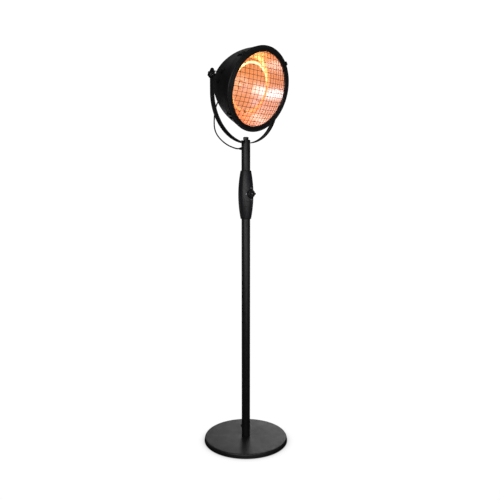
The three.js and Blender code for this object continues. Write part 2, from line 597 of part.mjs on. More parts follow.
for (const [name, side] of [['right', 1], ['left', -1]]) {
  const spacer = ring(PIVOT_HOLE, SPACER.radius, SPACER.from, SPACER.to);
  add(`head_bracket_${name}`, headBracket(side), blackPowderCoat, head);
  add(`pivot_bolt_${name}`, atPivot(pivotBolt(), side), blackSteel, head);
  add(`pivot_spacer_${name}`, atPivot(spacer, side), blackPlastic, head);
  add(`pivot_washer_${name}`, pivotWasher(side), steel);
  add(`clamp_knob_${name}`, atPivot(clampKnob(), side), blackPlastic, head);
}
for (const foot of earFeet) {
  const screw = join(rod(SMALL_SCREW.shank, -6, 4, 8), rod(SMALL_SCREW.head, 3.3, 5.4, 12));
  add(`bracket_screw_${foot.side > 0 ? 'right' : 'left'}_${foot.place}`,
    onShell(screw, foot.degrees, EAR_DEPTH), blackSteel, head);
}

// ---- lamp cable ---------------------------------------------------------------------------------------
// It leaves the neck's gland towards the back, and rises in a loose loop to the gland under the head.
const CABLE = {
  radius: 3.2,
  points: [
    [0, 40.3, 1384], [0, 62, 1386], [0, 88, 1393], [0, 126, 1407.5], [0, 162, 1428.5], [0, 188, 1449.5],
    [0, 204, 1469], [0, 213, 1490], [0, 215.5, 1512], [0, 214.5, 1536], [0, 210.5, 1560], [0, 203.5, 1582],
    [0, 194, 1599], [0, 184, 1609.5], [0, 171.8, 1617],
  ],
};
add('lamp_cable', swept(CABLE.points, CABLE.radius, 8, 32), rubber);

export default heater;
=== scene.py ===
import json
import math

import bmesh
import bpy
import numpy as np
from mathutils import Matrix, Vector


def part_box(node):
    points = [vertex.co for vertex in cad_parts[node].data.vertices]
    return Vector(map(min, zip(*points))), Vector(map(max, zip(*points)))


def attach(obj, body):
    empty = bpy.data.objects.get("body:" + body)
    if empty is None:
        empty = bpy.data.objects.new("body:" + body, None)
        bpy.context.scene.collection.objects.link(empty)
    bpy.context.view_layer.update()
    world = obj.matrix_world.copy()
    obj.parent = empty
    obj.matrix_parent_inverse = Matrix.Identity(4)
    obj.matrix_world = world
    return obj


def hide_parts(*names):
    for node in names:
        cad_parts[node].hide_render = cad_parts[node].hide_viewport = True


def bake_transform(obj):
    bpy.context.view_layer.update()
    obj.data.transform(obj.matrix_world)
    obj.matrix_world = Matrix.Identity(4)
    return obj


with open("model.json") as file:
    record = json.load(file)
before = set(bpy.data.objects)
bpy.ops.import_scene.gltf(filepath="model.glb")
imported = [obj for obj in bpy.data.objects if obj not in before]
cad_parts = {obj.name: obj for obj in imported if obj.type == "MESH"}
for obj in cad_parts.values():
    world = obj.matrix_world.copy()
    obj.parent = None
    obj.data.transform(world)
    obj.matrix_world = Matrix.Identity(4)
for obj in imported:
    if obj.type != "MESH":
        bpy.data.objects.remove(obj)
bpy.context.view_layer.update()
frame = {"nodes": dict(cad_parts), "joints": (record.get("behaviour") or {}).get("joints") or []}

# A free-standing electric heater: round base, pole, control housing, and a lamp head in a U-shaped yoke.
# Metres, +Z up. The lamp and the control knob face -Y, and the head tilts about the X axis.

# ---- driving dimensions --------
def z_range(node):
    return [corner.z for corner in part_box(node)]


def middle_z(node):
    return sum(z_range(node)) / 2


BASE_RADIUS, _, BASE_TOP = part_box("base_cover")[1]
TUBE_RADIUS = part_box("neck_tube")[1].x
TUBE_BORE = TUBE_RADIUS - 0.0015
HOUSING_BOTTOM, HOUSING_TOP = z_range("housing_rear")
HOUSING_WAIST, HOUSING_END = 0.035, 0.0242
KNOB_Z = middle_z("control_knob")
NECK_BOTTOM, NECK_TOP = z_range("neck_tube")
STRAP_BOTTOM, STRAP_TOP = z_range("yoke_strap")
STRAP_RADIUS, STRAP_THICK, STRAP_WIDTH = 0.199, 0.004, 0.025
PIVOT = Vector(next(j for j in frame["joints"] if j["name"] == "head_tilt")["pos_m"])

# The head's own frame: +Z out of the mouth, +Y up, the rim's front face at z = 0.
TILT = math.radians(17.1)
PIVOT_IN_HEAD = Vector((0, 0.022, -0.097))
HEAD_TURN = Matrix.Rotation(math.pi / 2 + TILT, 4, "X")
HEAD = Matrix.Translation(PIVOT) @ HEAD_TURN @ Matrix.Translation(-PIVOT_IN_HEAD)
RIM_RADIUS, RIM_OPENING = 0.1813, 0.156
SHELL_RADIUS, SHELL_DROP, SHELL_LENGTH = 0.173, 0.110, 0.240
SHELL_FRONT, SHELL_BACK = 0.009, 0.250
REFLECTOR_RADIUS, REFLECTOR_DEPTH, REFLECTOR_FRONT, REFLECTOR_POWER = 0.157, 0.118, 0.008, 3.2
LAMP_RADIUS, LAMP_DEPTH, LAMP_TUBE, LAMP_GAP_DEG, LAMP_LEG_END = 0.105, 0.066, 0.0055, 10, 0.098
SIDES = {"right": 1, "left": -1}

# The cable and its glands. The head's gland is at an angle round the shell and a depth behind the rim.
CABLE_RADIUS = 0.0032
GLAND_HOLE = 0.0073
GLAND_DEG, GLAND_DEPTH = -90, 0.232
PIVOT_HOLE, BOLT_HOLE = 0.0045, 0.0055

# ---- camera --------
CAMERA_DISTANCE, CAMERA_HEIGHT = 2.506, 1.188
CAMERA_AZIMUTH, CAMERA_DIP = math.radians(-44.2), math.radians(8.12)


def placed(name, data):
    """A new object in the scene."""
    thing = bpy.data.objects.new(name, data)
    bpy.context.scene.collection.objects.link(thing)
    return thing


def make_camera():
    away = Vector((math.sin(CAMERA_AZIMUTH), -math.cos(CAMERA_AZIMUTH), 0))
    look = Vector((-away.x * math.cos(CAMERA_DIP), -away.y * math.cos(CAMERA_DIP), -math.sin(CAMERA_DIP)))
    data = bpy.data.cameras.new("camera")
    data.lens = 39.26
    data.sensor_width = 36
    data.shift_x = 0.0083
    data.shift_y = 0.04
    camera = placed("camera", data)
    camera.location = away * CAMERA_DISTANCE + Vector((0, 0, CAMERA_HEIGHT))
    camera.rotation_euler = look.to_track_quat("-Z", "Y").to_euler()
    bpy.context.scene.camera = camera


make_camera()


# ---- meshes --------
SHARP = math.radians(32)
BEVEL_ANGLE = math.radians(35)
MERGE = 1e-6


def shade(bm):
    """Smooth shading, except across edges sharper than SHARP."""
    for face in bm.faces:
        face.smooth = True
    for edge in bm.edges:
        edge.smooth = edge.is_manifold and edge.calc_face_angle() < SHARP


def mesh_object(name, bm, matrix=None):
    """An object from a bmesh put in its place."""
    if matrix:
        bm.transform(matrix)
    bmesh.ops.recalc_face_normals(bm, faces=bm.faces)
    shade(bm)
    mesh = bpy.data.meshes.new(name)
    bm.to_mesh(mesh)
    bm.free()
    return placed(name, mesh)


def covered(piece, surface):
    """Gives a piece one material all over."""
    piece.data.materials.clear()
    piece.data.materials.append(surface.material)


def finished(piece, surface, body, *nodes):
    """Gives a piece its material and its body, and lets it stand for CAD nodes."""
    covered(piece, surface)
    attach(piece, body)
    if nodes:
        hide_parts(*nodes)


def circle_point(radius, degrees, z=0.0):
    a = math.radians(degrees)
    return Vector((radius * math.cos(a), radius * math.sin(a), z))


def rounded(points, closed=True, steps=5):
    """A 2-D outline whose (x, y, radius) corners become curves and whose (x, y) corners stay sharp."""
    out = []
    count = len(points)
    for i, point in enumerate(points):
        here = Vector(point[:2])
        radius = point[2] if len(point) > 2 else 0
        if radius == 0 or (not closed and i in (0, count - 1)):
            out.append(here)
            continue
        before = Vector(points[i - 1][:2]) - here
        after = Vector(points[(i + 1) % count][:2]) - here
        half = before.angle(after) / 2
        reach = min(radius / math.tan(half), before.length * 0.49, after.length * 0.49)
        start, end = here + before.normalized() * reach, here + after.normalized() * reach
        for k in range(steps + 1):
            t = k / steps
            out.append(start * (1 - t) ** 2 + here * 2 * t * (1 - t) + end * t ** 2)
    return out


def ring_section(bore, radius, low, high, inner=0.0002, outer=0.0004):
    """The profile of a washer or a tube, with its edges rounded."""
    return [(bore, low, inner), (radius, low, outer), (radius, high, outer), (bore, high, inner)]


def bar_outline(left, right, half, corner, steps):
    """A rectangle from left to right with round corners."""
    return rounded([(left, -half, corner), (right, -half, corner),
                    (right, half, corner), (left, half, corner)], steps=steps)


def lathe(profile, sides=96, bm=None, sweep=360, wave=None):
    """Turns a closed profile of (radius, z) about Z. A point on the axis is one vertex. wave scales radii."""
    bm = bm or bmesh.new()
    whole = sweep == 360
    count = sides if whole else sides + 1
    rings = []
    for r, z in profile:
        if r < 1e-7:
            rings.append([bm.verts.new((0, 0, z))] * count)
            continue
        ring = []
        for k in range(count):
            degrees = sweep * k / sides
            scale = wave(degrees, r, z) if wave else 1
            ring.append(bm.verts.new(circle_point(r * scale, degrees, z)))
        rings.append(ring)
    for i in range(len(rings)):
        low, high = rings[i], rings[(i + 1) % len(rings)]
        if low[0] is low[-1] and high[0] is high[-1]:
            continue
        for k in range(sides):
            n = (k + 1) % count
            corners = list(dict.fromkeys([low[k], low[n], high[n], high[k]]))
            if len(corners) > 2:
                bm.faces.new(corners)
    if not whole:
        bm.faces.new([ring[0] for ring in rings])
        bm.faces.new([ring[-1] for ring in reversed(rings)])
    return bm


def turned(name, profile, matrix=None, sides=96, wave=None, steps=5):
    """An object turned from a profile whose corners are rounded."""
    return mesh_object(name, lathe(rounded(profile, steps=steps), sides, wave=wave), matrix)


def smooth_path(points, steps):
    """Points along a centripetal Catmull-Rom curve through the given ones."""
    p = [Vector(q) for q in points]
    p = [2 * p[0] - p[1], *p, 2 * p[-1] - p[-2]]
    out = [p[1].copy()]
    for i in range(1, len(p) - 2):
        t = [0.0]
        for a, b in zip(p[i - 1:i + 2], p[i:i + 3]):
            t.append(t[-1] + math.sqrt((b - a).length))
        for k in range(1, steps + 1):
            u = t[1] + (t[2] - t[1]) * k / steps
            a = [((t[j + 1] - u) * p[i - 1 + j] + (u - t[j]) * p[i + j]) / (t[j + 1] - t[j])
                 for j in range(3)]
            b = [((t[j + 2] - u) * a[j] + (u - t[j]) * a[j + 1]) / (t[j + 2] - t[j]) for j in range(2)]
            out.append(((t[2] - u) * b[0] + (u - t[1]) * b[1]) / (t[2] - t[1]))
    return out


def path_length(points):
    return sum((b - a).length for a, b in zip(points, points[1:]))


def joined_rings(bm, rings):
    """Skins rings of vertices into one body with closed ends."""
    sides = len(rings[0])
    for low, high in zip(rings, rings[1:]):
        for k in range(sides):
            bm.faces.new((low[k], low[(k + 1) % sides], high[(k + 1) % sides], high[k]))
    bm.faces.new(list(reversed(rings[0])))
    bm.faces.new(rings[-1])
    return bm


def direction_at(path, i):
    """The unit direction of a path at its i-th point."""
    return (path[min(i + 1, len(path) - 1)] - path[max(i - 1, 0)]).normalized()


def tube_along(points, radius, sides, bm=None):
    """A round tube with closed ends along a path."""
    bm = bm or bmesh.new()
    tangent = (points[1] - points[0]).normalized()
    normal = tangent.orthogonal().normalized()
    rings = []
    for i, point in enumerate(points):
        ahead = direction_at(points, i)
        turn = tangent.rotation_difference(ahead)
        tangent, normal = ahead, (turn @ normal).normalized()
        side = tangent.cross(normal)
        rings.append([
            bm.verts.new(point + (normal * math.cos(a) + side * math.sin(a)) * radius)
            for a in (2 * math.pi * k / sides for k in range(sides))])
    return joined_rings(bm, rings)


def prism(outline, low, high, bevel=0.0, segments=3):
    """An outline in XY raised from low to high, with its sharp edges rounded."""
    bm = bmesh.new()
    floor = bm.faces.new([bm.verts.new((x, y, low)) for x, y in outline])
    made = bmesh.ops.extrude_face_region(bm, geom=[floor])["geom"]
    top = [v for v in made if isinstance(v, bmesh.types.BMVert)]
    bmesh.ops.translate(bm, verts=top, vec=(0, 0, high - low))
    bmesh.ops.recalc_face_normals(bm, faces=bm.faces)
    if bevel:
        edges = [e for e in bm.edges if e.is_manifold and e.calc_face_angle() > BEVEL_ANGLE]
        bmesh.ops.bevel(bm, geom=edges, offset=bevel, segments=segments, profile=0.5, affect="EDGES")
        bmesh.ops.remove_doubles(bm, verts=bm.verts, dist=MERGE)
    return bm


def strip(path, half_width, thickness, place, corner=0.0007):
    """A flat bar along a 2-D path: half_width(share) is its half width, place(point, across) lays it out."""
    bm = bmesh.new()
    half = thickness / 2
    rings = []
    for i, point in enumerate(path):
        ahead = direction_at(path, i)
        out = Vector((ahead.y, -ahead.x))
        width = half_width(i / (len(path) - 1))
        section = bar_outline(-width, width, half, corner, 2)
        rings.append([bm.verts.new(place(point + out * t, w)) for w, t in section])
    return joined_rings(bm, rings)


def combined(piece, tool, operation="DIFFERENCE"):
    """Cuts a tool out of a piece, or joins it on, for good."""
    change = piece.modifiers.new("change", "BOOLEAN")
    change.operation = operation
    change.object = tool
    change.solver = "EXACT"
    bpy.context.view_layer.update()
    result = bpy.data.meshes.new_from_object(piece.evaluated_get(bpy.context.evaluated_depsgraph_get()))
    piece.modifiers.clear()
    piece.data = result
    bm = bmesh.new()
    bm.from_mesh(result)
    bmesh.ops.remove_doubles(bm, verts=bm.verts, dist=MERGE)
    shade(bm)
    bm.to_mesh(result)
    bm.free()
    bpy.data.objects.remove(tool)


def drill(piece, radius, low, high, matrix):
    """Cuts a round hole along the matrix's Z axis, from low to high."""
    rod = lathe([(0, low), (radius, low), (radius, high), (0, high)], 40)
    combined(piece, mesh_object("tool", rod, matrix))


def hex_tool(across_flats, low, high, matrix=None):
    outline = [circle_point(across_flats / math.sqrt(3), 60 * k)[:2] for k in range(6)]
    return mesh_object("tool", prism(outline, low, high), matrix)


def about_z(degrees):
    return Matrix.Rotation(math.radians(degrees), 4, "Z")


def towards(direction, at=(0, 0, 0)):
    """The matrix that turns +Z to a direction and moves the origin to a place."""
    return Matrix.Translation(at) @ Vector(direction).to_track_quat("Z", "Y").to_matrix().to_4x4()


# ---- the cable, from the neck to the head --------
CABLE_POINTS = [
    (0, 0.0403, 1.384), (0, 0.062, 1.386), (0, 0.088, 1.393), (0, 0.126, 1.4075), (0, 0.162, 1.4285),
    (0, 0.188, 1.4495), (0, 0.204, 1.469), (0, 0.213, 1.490), (0, 0.2155, 1.512), (0, 0.2145, 1.536),
    (0, 0.2105, 1.560), (0, 0.2035, 1.582), (0, 0.194, 1.599), (0, 0.184, 1.6095), (0, 0.1718, 1.617),
]
cable_path = smooth_path(CABLE_POINTS, 8)
cable = mesh_object("lamp_cable_sheath", tube_along(cable_path, CABLE_RADIUS, 16))
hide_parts("lamp_cable")
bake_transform(cable)


# ---- materials --------
EVEN = (1, 1, 1)


class Surface:
    """A material's node tree, with short ways to add the nodes that every finish here uses."""

    def __init__(self, name, slot=None, **sockets):
        self.slot = slot or name
        self.material = bpy.data.materials.new(name)
        self.material.use_nodes = True
        self.tree = self.material.node_tree
        self.shader = self.tree.nodes["Principled BSDF"]
        for socket, value in sockets.items():
            self.shader.inputs[socket.replace("_", " ")].default_value = value
        self.place = self.tree.nodes.new("ShaderNodeTexCoord").outputs["Object"]

    def node(self, kind, **settings):
        node = self.tree.nodes.new(kind)
        for key, value in settings.items():
            setattr(node, key, value)
        return node

    def link(self, output, target):
        self.tree.links.new(output, target)

    def set(self, socket, output):
        self.link(output, self.shader.inputs[socket])

    def noise(self, scale, detail, stretch=EVEN):
        mapping = self.node("ShaderNodeMapping")
        mapping.inputs["Scale"].default_value = stretch
        self.link(self.place, mapping.inputs["Vector"])
        noise = self.node("ShaderNodeTexNoise")
        noise.inputs["Scale"].default_value = scale
        noise.inputs["Detail"].default_value = detail
        noise.inputs["Roughness"].default_value = 0.55
        self.link(mapping.outputs["Vector"], noise.inputs["Vector"])
        return noise.outputs["Fac"]

    def ramp(self, factor, *stops):
        """Two stops of (position, value), where a value is a colour or a grey."""
        ramp = self.node("ShaderNodeValToRGB")
        for element, (position, value) in zip(ramp.color_ramp.elements, stops):
            element.position = position
            element.color = (*value, 1) if hasattr(value, "__len__") else (value, value, value, 1)
        self.link(factor, ramp.inputs["Fac"])
        return ramp.outputs["Color"]

    def cloud(self, scale, detail, low, high, start=0.3, end=0.7, stretch=EVEN):
        """Noise that wanders between two values."""
        return self.ramp(self.noise(scale, detail, stretch), (start, low), (end, high))

    def multiply(self, first, second):
        mix = self.node("ShaderNodeMix", data_type="RGBA", blend_type="MULTIPLY")
        mix.inputs["Factor"].default_value = 1.0
        self.link(first, mix.inputs["A"])
        self.link(second, mix.inputs["B"])
        return mix.outputs["Result"]

    def edges(self, plain, worn, start=0.52, end=0.60):
        """Shows a worn colour on convex edges, broken up by noise."""
        pointed = self.node("ShaderNodeNewGeometry").outputs["Pointiness"]
        edge = self.ramp(pointed, (start, 0.0), (end, 1.0))
        mix = self.node("ShaderNodeMix", data_type="RGBA")
        self.link(self.multiply(edge, self.cloud(220, 4, 0.0, 1.0, 0.45)), mix.inputs["Factor"])
        self.link(plain, mix.inputs["A"])
        mix.inputs["B"].default_value = (*worn, 1)
        return mix.outputs["Result"]

    def bump(self, layers, stretch=EVEN):
        """Layers of (scale, detail, strength, distance), the coarsest first."""
        normal = None
        for scale, detail, strength, distance in layers:
            bump = self.node("ShaderNodeBump")
            bump.inputs["Strength"].default_value = strength
            bump.inputs["Distance"].default_value = distance
            self.link(self.noise(scale, detail, stretch), bump.inputs["Height"])
            if normal:
                self.link(normal, bump.inputs["Normal"])
            normal = bump.outputs["Normal"]
        if normal:
            self.set("Normal", normal)


def varied(name, colour, rough, *bumps, speckle=None, worn=None, stretch=EVEN, **settings):
    """A finish whose colour and roughness wander, each given as the arguments of Surface.cloud."""
    s = Surface(name, **settings)
    base = s.cloud(*colour)
    if speckle:
        base = s.multiply(base, s.cloud(*speckle))
    if worn:
        base = s.edges(base, *worn)
    s.set("Base Color", base)
    s.set("Roughness", s.cloud(*rough, stretch=stretch))
    s.bump(bumps, stretch)
    return s


def moulded(name, dark, light, rough):
    """Moulded plastic with a spark-eroded grain."""
    return varied(name, (20, 4, dark, light), (70, 4, rough - 0.05, rough + 0.06), (900, 3, 0.35, 0.00010),
                  Specular_IOR_Level=0.45)


def rubber(name):
    return varied(name, (90, 4, (0.011, 0.011, 0.011), (0.022, 0.021, 0.021)), (150, 3, 0.62, 0.82),
                  (700, 3, 0.4, 0.00012), Specular_IOR_Level=0.3, Sheen_Weight=0.15)


def metal(name, dark, light, rough, **settings):
    """Bare or plated metal, with a grain that stretch draws out along its making."""
    return varied(name, (35, 5, dark, light, 0.25, 0.75), (500, 4, rough - 0.07, rough + 0.09),
                  (500, 4, 0.15, 0.00008), Metallic=1.0, **settings)


def head_gradient(s, direction, start):
    """Grows along a direction of the head's frame, from a given value at the frame's origin."""
    rise = HEAD.to_3x3() @ Vector(direction)
    height = s.node("ShaderNodeVectorMath", operation="DOT_PRODUCT")
    s.link(s.place, height.inputs[0])
    height.inputs[1].default_value = rise
    share = s.node("ShaderNodeMath", operation="ADD")
    s.link(height.outputs["Value"], share.inputs[0])
    share.inputs[1].default_value = start - rise.dot(HEAD.translation)
    return share.outputs["Value"]


def polished_reflector():
    """Spun and polished aluminium, a little wavy, painted with the lamp's golden glow on one side and a pink
    reflection on the other.
    """
    s = Surface("reflector_aluminium", Metallic=1.0)
    across = head_gradient(s, (5.5, -2.8, 0), 0.25)
    # Painted light: the colour runs from the lamp's golden glow to a pink reflection across the bowl.
    painted_light_tint = s.ramp(across, (0.0, (0.97, 0.82, 0.55)), (1.0, (0.94, 0.84, 0.90)))
    s.set("Base Color", s.multiply(painted_light_tint, s.cloud(12, 4, 0.93, 1.0)))
    s.set("Roughness", s.cloud(26, 5, 0.25, 0.33))
    s.bump([(7, 3, 0.15, 0.004), (45, 3, 0.10, 0.0006)])
    return s


def glowing(name, colour, dim_glow, bright_glow, **settings):
    """A part of the lamp ring, whose glow is brighter towards the top and dimmer towards the leads."""
    s = Surface(name, **settings)
    s.set("Base Color", s.cloud(*colour))
    # The glow is set brighter towards the top of the ring and dimmer towards its leads.
    s.set("Emission Color", s.ramp(head_gradient(s, (-2.3, 4.2, 0), 0.5), (0.30, dim_glow), (0.80, bright_glow)))
    return s


POWDER = varied(
    "powder_coat_black", (14, 4, (0.0062, 0.0060, 0.0062), (0.0088, 0.0085, 0.0087)), (60, 4, 0.38, 0.46),
    (160, 3, 0.10, 0.0006), (1300, 2, 0.35, 0.00012),
    speckle=(1400, 2, 0.82, 1.12, 0.35), worn=[(0.045, 0.044, 0.043)], Specular_IOR_Level=0.45)
BASE_COAT = varied(
    "powder_coat_base", (9, 5, (0.0080, 0.0077, 0.0077), (0.0115, 0.0110, 0.0110)), (30, 5, 0.38, 0.46),
    (120, 3, 0.10, 0.0008), (1000, 2, 0.4, 0.00015), slot="powder_coat_black",
    speckle=(1100, 2, 0.8, 1.15, 0.35), worn=[(0.050, 0.048, 0.047)], Specular_IOR_Level=0.5)
BLACK_STEEL = varied(
    "black_steel", (120, 4, (0.016, 0.016, 0.017), (0.032, 0.031, 0.031)), (200, 4, 0.34, 0.5),
    (600, 3, 0.2, 0.00008), worn=[(0.16, 0.155, 0.15), 0.53, 0.66], Metallic=0.85)
GUARD = varied(
    "guard_wire", (80, 4, (0.080, 0.062, 0.052), (0.150, 0.120, 0.100)), (300, 3, 0.34, 0.5),
    (900, 3, 0.25, 0.00006), Metallic=0.7)
CERAMIC = varied(
    "ceramic_white", (60, 5, (0.72, 0.67, 0.58), (0.86, 0.83, 0.77)), (180, 4, 0.55, 0.72),
    (500, 4, 0.3, 0.00015), Specular_IOR_Level=0.4, Subsurface_Weight=0.05)
CAST_IRON = varied(
    "ballast", (50, 6, (0.035, 0.034, 0.033), (0.085, 0.082, 0.078)), (120, 4, 0.65, 0.85),
    (260, 5, 0.6, 0.0005), Metallic=0.6)
PRINT = varied(
    "printed_mark", (800, 3, (0.42, 0.42, 0.44), (0.62, 0.62, 0.64)), (300, 3, 0.45, 0.6),
    slot="white_plastic", Specular_IOR_Level=0.3)
HOUSING_PLASTIC = moulded("housing_black", (0.0120, 0.0118, 0.0142), (0.0160, 0.0157, 0.0188), 0.38)
KNOB_PLASTIC = moulded("knob_black", (0.0085, 0.0085, 0.009), (0.0150, 0.0150, 0.016), 0.40)
WHITE_PLASTIC = moulded("white_plastic", (0.66, 0.66, 0.64), (0.78, 0.78, 0.77), 0.45)
RUBBER = rubber("rubber_black")
CABLE_RUBBER = rubber("cable_rubber")
ZINC = metal("zinc_steel", (0.50, 0.50, 0.49), (0.72, 0.72, 0.70), 0.34, stretch=(1, 1, 0.1))
POLISHED_STUD = metal("polished_stud", (0.84, 0.74, 0.66), (0.95, 0.88, 0.82), 0.30, slot="zinc_steel")
REFLECTOR_METAL = polished_reflector()
# The lamp's clear tube takes on the glow of the coil inside it.
QUARTZ = glowing("lamp_quartz", (40, 3, (1.0, 0.62, 0.25), (1.0, 0.70, 0.34)), (0.55, 0.18, 0.07),
                 (1.0, 0.55, 0.22), Roughness=0.06, Alpha=0.35, Emission_Strength=0.9)
COIL = glowing("lamp_coil", (60, 3, (0.9, 0.5, 0.2), (1.0, 0.6, 0.25)), (0.26, 0.10, 0.035),
               (1.0, 0.78, 0.42), slot="lamp_quartz", Roughness=0.5, Emission_Strength=3.2)

covered(cable, CABLE_RUBBER)


# ---- small parts --------
def screw(name, matrix, head, height, body, node):
    """A button-head screw with a hexagonal socket, its head standing on the origin along +Z."""
    shank = 0.0020
    piece = turned(name, [
        (0, -0.010), (shank, -0.010, 0.0004), (shank, 0), (head, 0, 0.0003),
        (head, height * 0.35, 0.0012), (head * 0.55, height, 0.0010), (0, height)], matrix, 40)
    combined(piece, hex_tool(head * 0.62, height * 0.35, height + 0.002, matrix))
    finished(piece, BLACK_STEEL, body, node)


def gland(name, matrix, body, node):
    """A cable gland: a round flange on the wall, a ring to grip, and a sleeve with flex ribs."""
    flange, grip, sleeve, tip, bore = 0.0095, 0.0082, 0.0066, 0.0048, CABLE_RADIUS + 0.0001
    start, end, ribs, rib_share, notch = 0.0045, 0.0197, 5, 0.62, 0.0009
    profile = [(bore, 0), (flange, 0, 0.0004), (flange, 0.0020, 0.0010), (grip, 0.0030, 0.0006),
               (grip, start, 0.0006)]
    for i in range(ribs):
        radius = sleeve + (tip - sleeve) * (i / ribs)
        low, high, top = (start + (end - start) * k / ribs for k in (i, i + rib_share, i + 1))
        profile += [(radius, low, 0.0002), (radius, high, 0.0003), (radius - notch, high, 0.0002),
                    (radius - notch, top, 0.0002)]
    profile += [(tip, end - 0.0004, 0.0003), (tip, end, 0.0004), (bore, end, 0.0002)]
    finished(turned(name, profile, matrix, 64, steps=3), RUBBER, body, node)


# ---- base --------
def make_base():
    top, skin = BASE_TOP, 0.0015
    shoulder = BASE_RADIUS - 0.0028
    cover = turned("round_base_cover", [
        (0.0056, top - skin), (shoulder - 0.0036, top - skin, 0.004), (BASE_RADIUS - 0.0020, 0.0010),
        (BASE_RADIUS - 0.0002, 0.0010, 0.0006), (BASE_RADIUS, 0.0032, 0.0008),
        (shoulder + 0.0004, top - 0.0058, 0.0010), (shoulder, top - 0.0042, 0.0010),
        (shoulder - 0.0024, top - 0.0004, 0.0030), (shoulder - 0.0100, top, 0.0060),
        (0.0225, top, 0.0005), (0.0218, top - 0.0004, 0.0003), (0.0056, top - 0.0004)], sides=160)
    finished(cover, BASE_COAT, "stand", "base_cover")

    # The pad has a shallow groove underneath, near its edge.
    edge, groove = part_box("base_pad")[1].x, 0.0004
    pad = turned("floor_pad", [
        (0, 0), (edge - 0.022, 0, 0.0003), (edge - 0.021, groove, 0.0003), (edge - 0.017, groove, 0.0003),
        (edge - 0.016, 0, 0.0003), (edge, 0, 0.0006), (edge, 0.0020, 0.0004), (0, 0.0020)], sides=160)
    finished(pad, RUBBER, "stand", "base_pad")


# ---- pole --------
def drilled_tube(name, low, high, hole_z):
    """A length of the pole with a hole through its back wall."""
    edge = 0.0004
    tube = turned(name, ring_section(TUBE_BORE, TUBE_RADIUS, low, high, edge, edge), steps=3)
    drill(tube, GLAND_HOLE, 0.010, 0.030, towards((0, 1, 0), (0, 0, hole_z)))
    return tube


def make_pole():
    low, high = z_range("lower_tube")
    outlet_z = middle_z("mains_gland")
    tube = drilled_tube("pole_tube", low, high, outlet_z)
    finished(tube, POWDER, "stand", "lower_tube")

    # The bush that the mains lead would come out of, with two notches round its sleeve.
    bore, flange, edge = 0.0038, 0.0100, 0.0003
    bush = turned("mains_outlet_bush", [
        (bore, 0.0165, edge), (0.0070, 0.0165, 0.0004), (0.0070, 0.0203), (flange, 0.0203, edge),
        (flange, 0.0216, 0.0006), (0.0088, 0.0228, 0.0008), (0.0072, 0.0240, 0.0006),
        (0.0066, 0.0262, 0.0004), (0.0060, 0.0262, edge), (0.0060, 0.0272, edge), (0.0064, 0.0272, edge),
        (0.0062, 0.0290, edge), (0.0055, 0.0290, edge), (0.0055, 0.0300, edge), (0.0058, 0.0300, edge),
        (0.0056, 0.0318, 0.0005), (bore, 0.0318, 0.0004)], towards((0, 1, 0), (0, 0, outlet_z)), 56, steps=3)
    finished(bush, RUBBER, "stand", "mains_gland")


# ---- control housing --------
HOUSING_MIDDLE = (HOUSING_BOTTOM + HOUSING_TOP) / 2
HOUSING_HALF = (HOUSING_TOP - HOUSING_BOTTOM) / 2
GROOVES = [HOUSING_BOTTOM + 0.058, HOUSING_BOTTOM + 0.080, HOUSING_BOTTOM + 0.149]
AT_KNOB = towards((0, -1, 0), (0, 0, KNOB_Z))


def housing_radius(z):
    t = (z - HOUSING_MIDDLE) / HOUSING_HALF
    return HOUSING_WAIST - (HOUSING_WAIST - HOUSING_END) * t * t


def housing_half(name, start_deg):
    wall, collar, lip, edge, groove = 0.0025, 0.008, TUBE_RADIUS + 0.0003, 0.0012, 0.0004
    stations = sorted([HOUSING_BOTTOM + (HOUSING_TOP - HOUSING_BOTTOM) * k / 40 for k in range(41)]
                      + [z + d for z in GROOVES for d in (-0.0007, -0.0003, 0.0003, 0.0007)])
    outer = []
    for z in stations:
        cut = groove if any(abs(z - g) < 0.0004 for g in GROOVES) else 0
        outer.append((housing_radius(z) - cut, z))
    outer[0] = (*outer[0], edge)
    outer[-1] = (*outer[-1], edge)
    inner = [(housing_radius(z) - wall, z)
             for z in np.linspace(HOUSING_TOP - collar, HOUSING_BOTTOM + collar, 16)]
    profile = rounded([(lip, HOUSING_BOTTOM), *outer, (lip, HOUSING_TOP), (lip, HOUSING_TOP - collar),
                       *inner, (lip, HOUSING_BOTTOM + collar)], steps=4)
    split = 0.25
    bm = lathe(profile, 64, sweep=180 - 2 * split)
    return mesh_object(name, bm, about_z(start_deg + split))


def make_housing():
    front = housing_half("housing_front_shell", 180)
    boss, face = 0.0210, 0.0354
    seat = turned("tool", [(0, 0.026), (boss + 0.0002, 0.026), (boss, face, 0.0010), (0, face)], AT_KNOB)
    combined(front, seat, "UNION")
    drill(front, 0.0043, 0.018, 0.040, AT_KNOB)
    finished(front, HOUSING_PLASTIC, "stand", "housing_front")
    rear = housing_half("housing_rear_shell", 0)
    finished(rear, HOUSING_PLASTIC, "stand", "housing_rear")
    for place in ("lower", "upper"):
        node = f"housing_screw_{place}"
        seat = (0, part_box(node)[1].y - 0.0022, middle_z(node))
        screw(f"housing_cap_screw_{place}", towards((0, 1, 0), seat), 0.0036, 0.0020, "stand", node)


def on_housing(degrees, z, lift):
    """The place on the housing's front, degrees round from the knob towards -X."""
    return circle_point(housing_radius(z) + lift, 270 - degrees, z)


